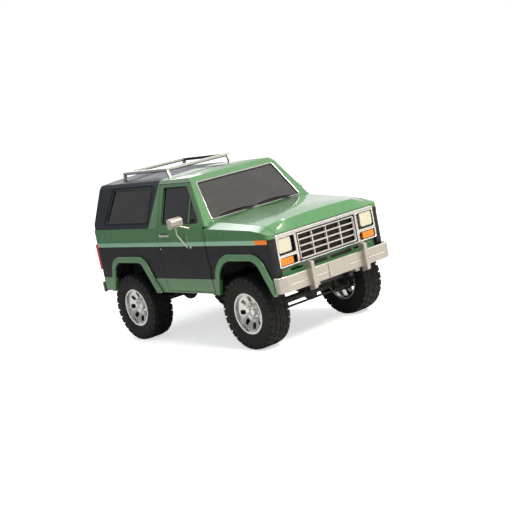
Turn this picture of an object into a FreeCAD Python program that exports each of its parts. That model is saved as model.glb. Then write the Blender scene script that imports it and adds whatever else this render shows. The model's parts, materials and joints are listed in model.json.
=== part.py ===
import FreeCAD, Part
import math
import os
from FreeCAD import Placement, Rotation, Vector

# Lifted two-door off-road wagon, millimetres, +X forward, +Y to its left, +Z up.
# The origin is on the ground below the middle of the overall length.

SIZES = (
    # overall layout
    ("wheelbase", 2560),
    ("front_overhang", 830),
    ("rear_overhang", 830),
    ("half_track", 845),
    # body cross-section, half widths and heights
    ("sill_half", 958),
    ("low_half", 971),
    ("crease_half", 980),
    ("shoulder_half", 962),
    ("rail_half", 752),
    ("roof_half", 722),
    ("sill_z", 725),
    ("rocker_z", 745),
    ("low_crease_z", 848),
    ("crease_z", 1384),
    ("stripe_z", 1446),
    ("shoulder_z", 1640),
    ("rail_z", 2220),
    ("roof_edge_z", 2262),
    ("crown_z", 2305),
    ("wall", 46),
    ("skin", 26),
    ("panel_gap", 7),
    # stations along the body, measured from the axles
    ("fender_tail", 632),
    ("nose_reach", 668),
    ("quarter_lead", 872),
    ("tail_reach", 758),
    ("tail_tuck", 24),
    # windscreen and roof front
    ("screen_base_reach", 615),
    ("screen_base_z", 1696),
    ("screen_top_reach", 960),
    ("screen_top_z", 2190),
    ("screen_wall", 50),
    ("screen_low_half", 800),
    ("screen_high_half", 680),
    ("screen_border", 22),
    ("glass", 6),
    # doors
    ("pillar_width", 60),
    ("door_ease", 11),
    ("door_frame", 52),
    ("door_rear_frame", 100),
    ("door_sill_z", 1685),
    ("vent_bar_back", 290),
    ("vent_bar", 22),
    ("hinge_pin", 6),
    ("hinge_barrel", 10),
    ("hinge_length", 60),
    ("hinge_play", 0.3),
    ("hinge_low_z", 1080),
    ("hinge_high_z", 1500),
    # hardtop
    ("top_wall", 40),
    ("top_rake", 85),
    ("top_corner", 150),
    ("post_top_back", 10),
    ("post_slope", 190),
    ("side_window_low_z", 1722),
    ("side_window_high_z", 2170),
    ("window_front", 60),
    ("window_lean", 56),
    ("window_rear", 331),
    ("window_rake", 148),
    ("window_recess", 10),
    ("window_border", 34),
    ("rear_window_half", 640),
    # bonnet, fenders and nose
    ("bonnet_half", 844),
    ("bonnet_skin", 28),
    ("bulge_half", 580),
    ("top_mid_reach", 326),
    ("top_fore_reach", 509),
    ("edge_rear_z", 1688),
    ("edge_mid_z", 1612),
    ("edge_fore_z", 1585),
    ("edge_nose_z", 1492),
    ("shoulder_rear_z", 1609),
    ("shoulder_mid_z", 1566),
    ("shoulder_fore_z", 1540),
    ("shoulder_nose_z", 1500),
    ("bulge_rear_z", 1693),
    ("bulge_mid_z", 1643),
    ("bulge_fore_z", 1634),
    ("bulge_lip_z", 1626),
    ("crown_rear_z", 1706),
    ("crown_mid_z", 1676),
    ("crown_fore_z", 1656),
    ("crown_lip_z", 1640),
    ("lip_back", 51),
    ("cowl_run", 62),
    ("nose_corner", 70),
    # wheel arches and flares
    ("front_arch_z", 1186),
    ("rear_arch_z", 1156),
    ("flare_width", 86),
    ("flare_half", 1005),
    ("liner", 8),
    ("front_liner_half", 440),
    ("rear_liner_half", 640),
    # grille panel and lamps
    ("panel_half", 869),
    ("panel_low_z", 1050),
    ("panel_high_z", 1478),
    ("panel_depth", 70),
    ("grille_half", 505),
    ("grille_low_z", 1078),
    ("grille_high_z", 1418),
    ("grille_bar", 12),
    ("lamp_y", 728),
    ("lamp_width", 205),
    ("lamp_height", 172),
    ("lamp_z", 1326),
    ("signal_z", 1120),
    ("signal_height", 84),
    ("lamp_box_inner", 566),
    ("lamp_box_outer", 846),
    # bumpers
    ("bumper_low_z", 757),
    ("bumper_high_z", 957),
    ("bumper_half", 985),
    ("bumper_wrap", 125),
    ("bumper_shell", 34),
    ("bumper_bevel", 45),
    ("bumper_taper", 112),
    ("bumper_room", 42),
    ("plate_half", 170),
    ("plate_hole_y", 178),
    ("plate_hole_z", 121),
    ("plate_hole", 3.5),
    ("guard_y", 475),
    ("guard_width", 56),
    ("guard_low_z", 680),
    ("guard_high_z", 1078),
    ("guard_depth", 65),
    ("rear_bumper_low_z", 700),
    ("rear_bumper_high_z", 852),
    # tail lamps and tailgate
    ("tail_lamp_low_z", 1044),
    ("tail_lamp_high_z", 1433),
    ("tail_lamp_width", 118),
    ("gate_half", 790),
    ("gate_low_z", 874),
    ("gate_high_z", 1634),
    ("gate_border", 90),
    ("gate_axis", 13),
    # wheels
    ("tyre_radius", 484),
    ("tyre_width", 326),
    ("rim_radius", 262),
    ("rim_width", 262),
    ("tread_drop", 14),
    ("lug_height", 12),
    ("lug_groove", 8),
    ("rim_flange", 16),
    ("rim_face", 20),
    ("hub_depth", 60),
    ("hub_cap", 46),
    ("dish_cap", 72),
    ("dish_lip", 50),
    ("dish_fall", 34),
    ("window_low", 138),
    ("window_rim", 44),
    ("spoke_share", 0.18),
    ("drum_radius", 150),
    ("hub_radius", 78),
    ("spindle_radius", 32),
    ("running_gap", 0.3),
    # frame and running gear
    ("rail_y", 358),
    ("rail_width", 72),
    ("rail_low_z", 640),
    ("rail_height", 140),
    ("member_reach", 420),
    ("leaf_reach", 600),
    ("leaf_y", 500),
    ("arm_reach", 980),
    ("floor_z", 800),
    ("floor_half", 905),
    ("tunnel_half", 210),
    ("tunnel_z", 980),
    ("floor_thickness", 40),
    ("axle_tube", 45),
    ("front_diff_y", 110),
    ("front_diff_radius", 142),
    ("rear_diff_radius", 172),
    ("kingpin_y", 655),
    ("kingpin_radius", 16),
    ("yoke_depth", 50),
    ("yoke_width", 80),
    ("yoke_height", 130),
    ("knuckle_gap", 6),
    ("knuckle_face", 712),
    ("steering_arm", 180),
    ("arm_half", 18),
    ("arm_y", 400),
    ("coil_y", 505),
    ("coil_radius", 55),
    ("coil_turns", 6),
    ("coil_top_z", 860),
    ("leaf_width", 64),
    ("leaf_pack", 44),
    ("tie_rod_radius", 15),
    # drive line and cabin
    ("engine_back", 430),
    ("engine_length", 700),
    ("engine_half", 290),
    ("engine_height", 600),
    ("tank_depth", 200),
    ("exhaust_y", 215),
    ("silencer_length", 360),
    ("dash_depth", 180),
    ("dash_height", 260),
    ("seat_height", 290),
    ("seat_back", 150),
    ("seat_cushion", 560),
    ("seat_back_height", 780),
    ("bench_back", 580),
    ("driver_y", 400),
    ("column_run", 190),
    ("column_rise", 120),
    ("wheel_ring", 190),
    # roof rack
    ("rack_half", 575),
    ("rack_front_back", 1720),
    ("rack_length", 1100),
    ("rack_rise", 73),
    ("rack_bar", 44),
    ("rack_thickness", 32),
    # mirrors
    ("mirror_width", 190),
    ("mirror_height", 158),
    ("mirror_depth", 100),
    ("mirror_arm", 9),
    ("mirror_low_z", 1650),
    ("mirror_back", 450),
    ("mirror_drop", 290),
    # wipers and marker lamps
    ("wiper_outer_y", 715),
    ("wiper_inner_y", 50),
    ("wiper_arm", 7),
    ("wiper_arm_reach", 380),
    ("wiper_blade", 590),
    ("wiper_lift", 52),
    ("marker_rear", 400),
    ("marker_length", 230),
)

doc = FreeCAD.newDocument("offroad_wagon")
sheet = doc.addObject("Spreadsheet::Sheet", "sizes")
for row, (alias, value) in enumerate(SIZES, start=1):
    sheet.set(f"A{row}", alias)
    sheet.set(f"B{row}", str(value))
    sheet.setAlias(f"B{row}", alias)
doc.recompute()


class Size(float):
    """A number that keeps the text of how the sheet gives it."""

    def __new__(cls, value, text):
        size = super().__new__(cls, value)
        size.text = text
        return size


def text_of(value):
    """A number as it stands in an expression."""
    return value.text if isinstance(value, Size) else str(float(value))


def operation(name, sign):
    """Float arithmetic that carries the texts along."""
    plain = getattr(float, name)

    def work(size, other):
        value = plain(size, float(other))
        pair = (text_of(other), size.text) if name.startswith("__r") else (size.text, text_of(other))
        return Size(value, f"({pair[0]} {sign} {pair[1]})")

    return work


for sign, names in {
    "+": ("__add__", "__radd__"),
    "-": ("__sub__", "__rsub__"),
    "*": ("__mul__", "__rmul__"),
    "/": ("__truediv__", "__rtruediv__"),
}.items():
    for name in names:
        setattr(Size, name, operation(name, sign))
Size.__neg__ = lambda size: 0 - size


class Sizes:
    """The sheet's numbers under their own names."""


s = Sizes()
for alias, value in SIZES:
    setattr(s, alias, Size(sheet.get(alias), f"sizes.{alias}"))

NODES = []
PLANES = {
    "XY": (Rotation(), Vector(0, 0, 1)),
    "XZ": (Rotation(Vector(1, 0, 0), 90), Vector(0, 1, 0)),
    "YZ": (Rotation(Vector(1, 1, 1), 120), Vector(1, 0, 0)),
}
REACH = 4 * s.wheelbase
OVERRUN = s.wall
SINK = 1
NEAR_ENOUGH = 1e-3
SAME_PLACE = 1e-6
COIL_CORE_SHARE = 0.8
BENCH_BACK_SHARE = 0.85
MIRROR_FOOT_SHARE = 1.5


def geometry(loop):
    """Lines and arcs of a closed loop.

    A third number rounds a corner; a fourth item bends the next edge through it.
    """
    if loop[0] == "circle":
        _, u, v, radius = loop
        return [Part.Circle(Vector(u, v, 0), Vector(0, 0, 1), radius)]
    corners = []
    for i, point in enumerate(loop):
        here = Vector(point[0], point[1], 0)
        radius = point[2] if len(point) > 2 else 0
        if not radius:
            corners.append((here, here, None))
            continue
        before = Vector(*loop[i - 1][:2], 0) - here
        after = Vector(*loop[(i + 1) % len(loop)][:2], 0) - here
        half = before.getAngle(after) / 2
        room = min(before.Length, after.Length) / 2
        reach = min(radius / math.tan(half), room)
        radius = reach * math.tan(half)
        before.normalize()
        after.normalize()
        middle = (before + after).normalize()
        centre = here + middle * (radius / math.sin(half))
        corners.append((here + before * reach, here + after * reach, centre - middle * radius))
    edges = []
    for i, (entry, leave, middle) in enumerate(corners):
        if middle is not None:
            edges.append(Part.Arc(entry, middle, leave))
        onward = corners[(i + 1) % len(corners)][0]
        bend = loop[i][3] if len(loop[i]) > 3 else None
        if bend is not None:
            edges.append(Part.Arc(leave, Vector(bend[0], bend[1], 0), onward))
        elif leave.distanceToPoint(onward) > SAME_PLACE:
            edges.append(Part.LineSegment(leave, onward))
    return edges


def bind(piece, **values):
    """Sets an object's own sizes, tied to the sheet where they come from it."""
    for field, value in values.items():
        setattr(piece, field, float(value))
        if isinstance(value, Size):
            piece.setExpression(field, value.text)
    return piece


def put(piece, point, rotation=None):
    """Places an object, tied to the sheet where the place comes from it."""
    piece.Placement = Placement(Vector(*point), rotation or Rotation())
    for axis, value in zip("xyz", point):
        if isinstance(value, Size):
            piece.setExpression(f"Placement.Base.{axis}", value.text)
    return piece


def drawing(name, plane, loops, at=0):
    """A sketch on a plane parallel to an origin plane."""
    sketch = doc.addObject("Sketcher::SketchObject", name)
    for loop in loops:
        sketch.addGeometry(geometry(loop), False)
    rotation, normal = PLANES[plane]
    return put(sketch, [at if axis else 0 for axis in normal], rotation)


def slab(name, plane, loops, low, high):
    """A flat outline given thickness, from low to high along the plane's axis."""
    sketch = drawing(name + "_sketch", plane, loops, low)
    piece = doc.addObject("Part::Extrusion", name)
    piece.Base = sketch
    piece.DirMode = "Custom"
    piece.Dir = PLANES[plane][1]
    piece.Solid = True
    return bind(piece, LengthFwd=high - low)


def turned(name, plane, loops, at, axis, centre):
    """An outline turned a full circle about an axis."""
    piece = doc.addObject("Part::Revolution", name)
    piece.Source = drawing(name + "_sketch", plane, loops, at)
    piece.Axis = axis
    piece.Base = centre
    piece.Angle = 360
    piece.Solid = True
    return piece


def joined(name, pieces):
    """Pieces fused into one."""
    piece = doc.addObject("Part::MultiFuse", name)
    piece.Shapes = pieces
    piece.Refine = True
    return piece


def shared(name, pieces):
    """What all the pieces have in common."""
    piece = doc.addObject("Part::MultiCommon", name)
    piece.Shapes = pieces
    piece.Refine = True
    return piece


def cut(name, base, *tools):
    """The base without the tools."""
    for i, tool in enumerate(tools):
        piece = doc.addObject("Part::Cut", name if i == len(tools) - 1 else f"{name}_{i}")
        piece.Base = base
        piece.Tool = tool
        piece.Refine = True
        base = piece
    return base


def mirrored(name, base):
    """The same piece on the other side of the car."""
    piece = doc.addObject("Part::Mirroring", name)
    piece.Source = base
    piece.Normal = Vector(0, 1, 0)
    return piece


def block(name, low, high):
    """A box between two corners."""
    piece = put(doc.addObject("Part::Box", name), low)
    return bind(piece, Length=high[0] - low[0], Width=high[1] - low[1], Height=high[2] - low[2])


def rod(name, start, end, radius):
    """A round bar between two points."""
    run = Vector(*end) - Vector(*start)
    piece = put(doc.addObject("Part::Cylinder", name), start, Rotation(Vector(0, 0, 1), run))
    return bind(piece, Height=run.Length, Radius=radius)


def ball(name, centre, radius):
    """A sphere."""
    return bind(put(doc.addObject("Part::Sphere", name), centre), Radius=radius)


def lofted(name, plane, stations):
    """A ruled skin through outlines, each given with its place along the plane's axis."""
    piece = doc.addObject("Part::Loft", name)
    piece.Sections = [drawing(f"{name}_{i}", plane, [loop], at) for i, (at, loop) in enumerate(stations)]
    piece.Solid = True
    piece.Ruled = True
    return piece


def rounded(name, base, radius, chosen):
    """Fillets on the edges that chosen() picks by their middle points."""
    doc.recompute()
    piece = doc.addObject("Part::Fillet", name)
    piece.Base = base
    piece.Edges = [
        (i, radius, radius) for i, edge in enumerate(base.Shape.Edges, start=1) if chosen(
            edge,
            middle_of(edge),
        )
    ]
    return piece


def middle_of(edge):
    """The point half way along an edge."""
    return edge.valueAt((edge.FirstParameter + edge.LastParameter) / 2)


def node(label, piece):
    """Marks an object as a finished piece of the car."""
    piece.Label = label
    NODES.append(piece)
    return piece


# places along the car

LENGTH = s.front_overhang + s.wheelbase + s.rear_overhang
XF = LENGTH / 2 - s.front_overhang
XR = XF - s.wheelbase
NOSE = XF + s.nose_reach
TAIL = XR - s.tail_reach
DOOR_FRONT = XF - s.fender_tail
DOOR_REAR = XR + s.quarter_lead
SCREEN_LOW = XF - s.screen_base_reach
SCREEN_TOP = XF - s.screen_top_reach
SCREEN_RUN = (SCREEN_LOW - SCREEN_TOP) / (s.screen_top_z - s.screen_base_z)


def screen_x(z, back=0):
    """Where the windscreen's plane is at a height, moved back along the car."""
    return SCREEN_LOW - (z - s.screen_base_z) * SCREEN_RUN - back


def side_half(z):
    """Half the body's width at a height."""
    table = (
        (s.sill_z, s.sill_half),
        (s.low_crease_z, s.low_half),
        (s.crease_z, s.crease_half),
        (s.stripe_z, s.crease_half),
        (s.shoulder_z, s.shoulder_half),
        (s.rail_z, s.rail_half),
    )
    for (z0, y0), (z1, y1) in zip(table, table[1:]):
        if z <= z1:
            return y0 + (y1 - y0) * (z - z0) / (z1 - z0)
    return s.rail_half


def side_line(low, high, inset=0):
    """Points up the right side of the body between two heights, on a skin set in from the outer one."""
    heights = [z for z in (s.low_crease_z, s.crease_z, s.stripe_z, s.shoulder_z) if low < z < high]
    return [(-(side_half(z) - inset), z) for z in [low, *heights, high]]


def side_wall(name, low, high, start, end, outer=0, inner=None):
    """A strip of the right side wall between two heights and two stations."""
    inner = s.wall if inner is None else inner
    loop = side_line(low, high, outer) + side_line(low, high, inner)[::-1]
    return slab(name, "YZ", [loop], start, end)


def cabin_loop(inset, roof_inset, low):
    """The closed cross-section of the cabin, from a height up to the crowned roof."""
    right = [
        (-(side_half(low) - inset), low),
        (-(s.rail_half - inset), s.rail_z),
        (-(s.roof_half - inset), s.roof_edge_z - roof_inset, 0, (0, s.crown_z - roof_inset)),
    ]
    left = [(-y, z) for y, z in [p[:2] for p in right][::-1]]
    return right + left


def cabin_block(name, inset, roof_inset, low, side_outline):
    """The cabin's cross-section drawn out along the car and trimmed to a side outline."""
    core = slab(name + "_core", "YZ", [cabin_loop(inset, roof_inset, low)], -REACH, REACH)
    side = slab(name + "_side", "XZ", [side_outline], -REACH, REACH)
    return shared(name, [core, side])


FRONT_ARCH_SHARES = ((-1.05, 0, 0), (-0.78, 1, 0.62), (0.73, 1, 0.41), (1.29, 0, 0))
REAR_ARCH_SHARES = ((-0.93, 0, 0), (-0.6, 1, 0.35), (0.75, 1, 0.25), (1.37, 0, 0))


def arch_loop(axle, front, grow=0):
    """The wheel opening in side view, grown outwards by a margin; shares of the tyre's radius."""
    top = (s.front_arch_z if front else s.rear_arch_z) + grow
    points = []
    for along_share, at_top, corner_share in FRONT_ARCH_SHARES if front else REAR_ARCH_SHARES:
        x = axle + along_share * s.tyre_radius + math.copysign(grow, along_share)
        corner = corner_share * s.tyre_radius + grow
        points.append((x, top, corner) if at_top else (x, s.sill_z - OVERRUN))
    return points


def arch_slab(name, axle, front, grow, near, far, low):
    """The grown wheel opening as a solid that ends at a height."""
    whole = slab(name + "_whole", "XZ", [arch_loop(axle, front, grow)], near, far)
    return shared(name, [whole, block(name + "_box", (-REACH, -REACH, low), (REACH, REACH, REACH))])


# body sides, doors and cabin

POST_TOP = DOOR_REAR - s.post_top_back
POST_LOW = POST_TOP - s.post_slope


def post_x(z):
    """The sloping joint between the cab's rear post and the hardtop."""
    return POST_LOW + (POST_TOP - POST_LOW) * (z - s.shoulder_z) / (s.crown_z - s.shoulder_z)


def tail_lamp_loop():
    """The lamp's notch in the rear corner, in side view."""
    return [
        (TAIL - OVERRUN, s.tail_lamp_low_z),
        (TAIL + s.tail_lamp_width / 2, s.tail_lamp_low_z),
        (TAIL + s.tail_lamp_width / 2, s.tail_lamp_high_z),
        (TAIL - OVERRUN, s.tail_lamp_high_z),
    ]


def flare(name, axle, front):
    """The raised lip round a wheel opening."""
    half = s.flare_half
    band = arch_slab(name + "_band", axle, front, s.flare_width, -half, -(s.sill_half - s.skin), s.sill_z)
    band = rounded(
        name + "_soft",
        band,
        s.flare_width / 4,
        lambda edge, mid: abs(mid.y + half) < NEAR_ENOUGH and mid.z > s.sill_z + SINK,
    )
    return cut(name, band, slab(name + "_hole", "XZ", [arch_loop(axle, front)], -REACH, REACH))


def corner_post():
    """The rear corner beside the tailgate, rounded in plan."""
    box = block(
        "corner_box",
        (TAIL, -s.crease_half, s.sill_z),
        (TAIL + s.tail_lamp_width, -(s.gate_half + s.panel_gap), s.shoulder_z),
    )
    return shared(
        "corner_post",
        [box, side_wall("corner_skin", s.sill_z, s.shoulder_z, TAIL, XR, 0, s.crease_half)],
    )


def body_side():
    """Quarter panel, rear corner, rocker and half the tail panel of the right side."""
    wall = side_wall("side_strip", s.sill_z, s.shoulder_z, TAIL, DOOR_FRONT)
    panel = block(
        "tail_panel",
        (TAIL, -(s.gate_half + OVERRUN), s.rocker_z),
        (TAIL + s.wall, 0, s.gate_low_z - s.gate_axis),
    )
    square = joined("side_full", [wall, corner_post(), panel])
    rear = [(TAIL, -s.crease_half, s.nose_corner), (XF, -s.crease_half), (XF, 0), (TAIL, 0)]
    tail = [
        (TAIL, s.shoulder_z),
        (TAIL, s.tail_lamp_low_z),
        (TAIL + s.tail_tuck, s.sill_z),
        (XF, s.sill_z),
        (XF, s.shoulder_z),
    ]
    shaped = shared(
        "side_shaped",
        [square, slab("side_plan", "XY", [rear], 0, REACH), slab("side_tail", "XZ", [tail], -REACH, REACH)],
    )
    door = [
        (DOOR_REAR, s.rocker_z),
        (DOOR_FRONT + OVERRUN, s.rocker_z),
        (DOOR_FRONT + OVERRUN, s.shoulder_z + OVERRUN),
        (DOOR_REAR, s.shoulder_z + OVERRUN),
    ]
    lamp = slab("side_lamp", "XZ", [tail_lamp_loop()], -REACH, REACH)
    pins = rod(
        "gate_pin",
        (GATE_X, -s.gate_half - OVERRUN, GATE_Z),
        (GATE_X, -s.gate_half + s.wall, GATE_Z),
        s.hinge_pin,
    )
    whole = joined("side_flared", [shaped, flare("rear_flare", XR, False), pins])
    side = cut(
        "body_side",
        whole,
        slab("side_door", "XZ", [door], -REACH, REACH),
        slab("side_arch", "XZ", [arch_loop(XR, False)], -REACH, REACH),
        lamp,
    )
    return side, shared("lamp_right", [shaped, lamp])


GATE_X = TAIL + s.gate_axis
GATE_Z = s.gate_low_z + s.gate_axis


def cab_outline(inset=0, sill=0):
    """The steel cab above the shoulder in side view."""
    roof = s.crown_z + s.glass
    front = screen_x(s.shoulder_z, inset)
    header = screen_x(s.screen_top_z, inset)
    return [
        (POST_LOW - (REACH if inset else 0), s.shoulder_z - sill),
        (front + sill * SCREEN_RUN, s.shoulder_z - sill),
        (header, s.screen_top_z),
        (header - (s.crown_z - s.screen_top_z) * SCREEN_RUN, s.roof_edge_z),
        (header - 2 * (s.crown_z - s.screen_top_z) * SCREEN_RUN, roof),
        (POST_TOP - (REACH if inset else 0), roof),
    ]


def door_line(z):
    """The door's upper front edge, a pillar's width behind the windscreen."""
    return screen_x(z, s.pillar_width)


def door_outline(grow=0):
    """The door in side view, frame and all, grown by a margin for its opening."""
    belt_z = s.shoulder_z
    top = s.rail_z - s.panel_gap + grow
    return [
        (DOOR_REAR + s.panel_gap - grow, s.rocker_z + s.panel_gap - grow),
        (DOOR_FRONT - s.panel_gap + grow, s.rocker_z + s.panel_gap - grow),
        (min(DOOR_FRONT, door_line(belt_z)) - s.panel_gap + grow, belt_z),
        (door_line(top) - s.panel_gap + grow, top, s.panel_gap),
        (DOOR_REAR + s.panel_gap - grow, top, s.panel_gap),
    ]


def door_window():
    """The hole in the door's frame, vent window and all."""
    top = s.rail_z - s.panel_gap - s.door_frame
    front_back = s.panel_gap + s.door_frame
    return [
        (DOOR_REAR + s.door_rear_frame, s.door_sill_z, s.door_frame / 2),
        (door_line(s.door_sill_z) - front_back, s.door_sill_z, s.door_frame / 3),
        (door_line(top) - front_back, top, s.door_frame / 3),
        (DOOR_REAR + s.door_rear_frame, top, s.door_frame / 2),
    ]


def windscreen_loop(border=0):
    """The windscreen seen square on: half width against distance up its slope, as a loop."""
    rise = math.hypot(s.screen_top_z - s.screen_base_z, SCREEN_LOW - SCREEN_TOP)
    low, high = s.screen_low_half - border, s.screen_high_half - border
    return [
        (-low, border, s.screen_border),
        (low, border, s.screen_border),
        (high, rise - border, s.screen_border),
        (-high, rise - border, s.screen_border),
    ]


def windscreen_slab(name, border, near, far):
    """The windscreen's outline given thickness square to its slope."""
    sketch = doc.addObject("Sketcher::SketchObject", name + "_sketch")
    sketch.addGeometry(geometry(windscreen_loop(border)), False)
    up_slope = Vector(SCREEN_TOP - SCREEN_LOW, 0, s.screen_top_z - s.screen_base_z).normalize()
    normal = Vector(up_slope.z, 0, -up_slope.x)
    turn = Rotation(Vector(0, 1, 0), up_slope, normal, "ZYX")
    sketch.Placement = Placement(Vector(SCREEN_LOW, 0, s.screen_base_z) + normal * near, turn)
    piece = doc.addObject("Part::Extrusion", name)
    piece.Base = sketch
    piece.DirMode = "Custom"
    piece.Dir = normal
    piece.LengthFwd = far - near
    piece.Solid = True
    return piece


def cab_top():
    """Roof, header, windscreen pillars and rear posts of the steel cab."""
    outer = cabin_block("cab_outer", 0, 0, s.shoulder_z, cab_outline())
    foot = shared("cab_foot", [outer, block("foot_box", (FENDER_REAR, -REACH, 0), (REACH, REACH, REACH))])
    inner = cabin_block(
        "cab_inner",
        s.wall,
        s.wall,
        s.shoulder_z - OVERRUN,
        cab_outline(s.screen_wall, OVERRUN),
    )
    shell = cut("cab_shell", outer, inner)
    opening = slab("cab_door_hole", "XZ", [door_outline(s.panel_gap)], -REACH, REACH)
    screen = windscreen_slab("cab_screen_hole", 0, -s.screen_wall * 2, s.screen_wall)
    return cut("cab_top", shell, opening, screen), foot


def door():
    """A door, lower panel and window frame in one, with the halves of its hinges."""
    wall = side_wall("door_wall", s.rocker_z, s.rail_z, DOOR_REAR, DOOR_FRONT)
    panel = shared("door_panel", [wall, slab("door_shape", "XZ", [door_outline()], -REACH, REACH)])
    hollow = cut("door_open", panel, slab("door_hole", "XZ", [door_window()], -REACH, REACH))
    bar = shared(
        "door_bar",
        [
            side_wall(
                "door_bar_wall",
                s.door_sill_z - SINK,
                s.rail_z - s.panel_gap,
                DOOR_REAR,
                DOOR_FRONT,
                s.wall / 4,
                s.wall,
            ),
            block("door_bar_box", (VENT_BAR, -REACH, 0), (VENT_BAR + s.vent_bar, 0, REACH)),
        ],
    )
    eased = cut("door_eased", hollow, door_ease_wedge())
    return hinged("door_right", [eased, shared("door_bar_fit", [bar, panel])])


def door_ease_wedge():
    """What comes off the window frame's rear inner edge, so that it swings clear of its post."""
    edge = DOOR_REAR + s.panel_gap
    stations = []
    for z in (s.shoulder_z, s.rail_z):
        outer = -(side_half(z) - s.wall / 8)
        inner = outer + 2 * s.wall
        behind = edge - s.panel_gap
        stations.append(
            (z, [(edge, outer), (edge + 2 * s.door_ease, inner), (behind, inner), (behind, outer)])
        )
    return lofted("door_ease_wedge", "XY", stations)


VENT_BAR = DOOR_FRONT - s.vent_bar_back - s.panel_gap - s.door_frame
HINGE_X = DOOR_FRONT + s.panel_gap
HINGE_Y = -(s.crease_half - s.hinge_barrel)


def hinge_heights():
    """The middles of the two hinges."""
    return (s.hinge_low_z, s.hinge_high_z)


def hinged(name, pieces):
    """A door with its two barrels, bored for the pins."""
    half = s.hinge_length / 4
    pins = []
    for i, z in enumerate(hinge_heights()):
        pieces.append(
            rod(f"barrel_{i}", (HINGE_X, HINGE_Y, z - half), (HINGE_X, HINGE_Y, z + half), s.hinge_barrel)
        )
        pieces.append(
            block(
                f"leaf_{i}",
                (DOOR_FRONT - 2 * s.panel_gap, HINGE_Y, z - half),
                (HINGE_X, HINGE_Y + s.hinge_barrel, z + half),
            )
        )
        pins.append(
            rod(
                f"bore_{i}",
                (HINGE_X, HINGE_Y, z - s.wall),
                (HINGE_X, HINGE_Y, z + s.wall),
                s.hinge_pin + s.hinge_play,
            ),
        )
    return cut(name, joined(name + "_solid", pieces), *pins)


def door_hinges():
    """The fixed halves of the right door's hinges, with their pins, on the door post."""
    half = s.hinge_length / 4 + s.hinge_play
    solids = []
    for i, z in enumerate(hinge_heights()):
        low, high = z - s.hinge_length / 2, z + s.hinge_length / 2
        ends = ((low, z - half), (z + half, high))
        for j, (start, end) in enumerate(ends):
            solids.append(
                rod(f"knuckle_{i}_{j}", (HINGE_X, HINGE_Y, start), (HINGE_X, HINGE_Y, end), s.hinge_barrel)
            )
            solids.append(
                block(
                    f"strap_{i}_{j}",
                    (HINGE_X, HINGE_Y, start),
                    (HINGE_X + s.wall / 2, HINGE_Y + s.wall, end),
                )
            )
        solids.append(rod(f"pin_{i}", (HINGE_X, HINGE_Y, low), (HINGE_X, HINGE_Y, high), s.hinge_pin))
    return solids


def hinge_room(name):
    """Room for the hinges in the fender behind which they hide."""
    holes = []
    for i, z in enumerate(hinge_heights()):
        half = s.hinge_length / 2 + s.panel_gap
        reach = s.wall / 2 + s.panel_gap
        holes.append(
            block(
                f"{name}_{i}",
                (HINGE_X - reach, -REACH, z - half),
                (HINGE_X + reach, HINGE_Y + s.wall, z + half),
            )
        )
    return holes


def pane(name, loop, depth):
    """Flat glass in the right side wall, filling an opening."""
    strip = side_wall(name + "_strip", s.shoulder_z, s.rail_z, -REACH, REACH, depth, depth + s.glass)
    return shared(name, [strip, slab(name + "_outline", "XZ", [loop], -REACH, 0)])


def door_glass():
    """Main and vent glass of the right door, either side of the vent bar."""
    glass = pane("door_pane", door_window(), s.wall / 2)
    bar = block("door_pane_bar", (VENT_BAR, -REACH, 0), (VENT_BAR + s.vent_bar, 0, REACH))
    return cut("door_glass_cut", glass, bar)


# hardtop, its windows and the roof rack


def top_outline(inset=0, sill=0):
    """The hardtop in side view; set in, it is the room inside, open at the front."""
    front = REACH if inset else 0
    low = s.shoulder_z - sill
    crown = s.crown_z + s.glass
    return [
        (POST_LOW + front, low),
        (TAIL + inset, low),
        (TAIL + inset + s.top_rake, crown, s.top_corner),
        (POST_TOP + front, crown),
    ]


def side_window(grow=0):
    """The hardtop's side window in side view."""
    low, high = s.side_window_low_z - grow, s.side_window_high_z + grow
    front, rear = POST_LOW - s.window_front, TAIL + s.window_rear
    return [
        (front + grow, low, s.window_border),
        (front + s.window_lean + grow, high, s.window_border),
        (rear + s.window_rake - grow, high, s.window_border),
        (rear - 2 * grow, low, s.window_border),
    ]


def rear_window(name, near, far):
    """The slanting rear window's strip between two depths below the hardtop's skin."""
    low, high = s.shoulder_z, s.side_window_high_z
    lean = s.top_rake * (high - low) / (s.crown_z - low)
    strip = [
        (TAIL + near, low),
        (TAIL + far, low),
        (TAIL + far + lean, high),
        (TAIL + near + lean, high),
    ]
    face = [
        (-s.rear_window_half, low),
        (s.rear_window_half, low),
        (s.rear_window_half - s.window_border, high, s.window_border),
        (-(s.rear_window_half - s.window_border), high, s.window_border),
    ]
    side = slab(name + "_strip", "XZ", [strip], -REACH, REACH)
    return shared(name, [side, slab(name + "_face", "YZ", [face], -REACH, 0)])


def hardtop():
    """The removable top behind the cab, with its three window openings."""
    outer = cabin_block("top_outer", 0, 0, s.shoulder_z, top_outline())
    low = s.shoulder_z - OVERRUN
    inner = cabin_block("top_inner", s.top_wall, s.top_wall, low, top_outline(s.top_wall, OVERRUN))
    plan = [
        (TAIL, -s.shoulder_half, s.nose_corner),
        (XF, -s.shoulder_half),
        (XF, s.shoulder_half),
        (TAIL, s.shoulder_half, s.nose_corner),
    ]
    shell = cut(
        "top_shell",
        shared("top_rounded", [outer, slab("top_plan", "XY", [plan], 0, REACH)]),
        inner,
        slab("top_windows", "XZ", [side_window()], -REACH, REACH),
    )
    recess = shared(
        "window_recess",
        [
            side_wall("recess_strip", s.shoulder_z, s.rail_z, -REACH, REACH, -OVERRUN, s.window_recess),
            slab("recess_outline", "XZ", [side_window(s.window_border)], -REACH, 0),
        ],
    )
    return cut(
        "hardtop",
        shell,
        recess,
        mirrored("recess_left", recess),
        rear_window("rear_hole", -OVERRUN, REACH / 8),
    )


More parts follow.
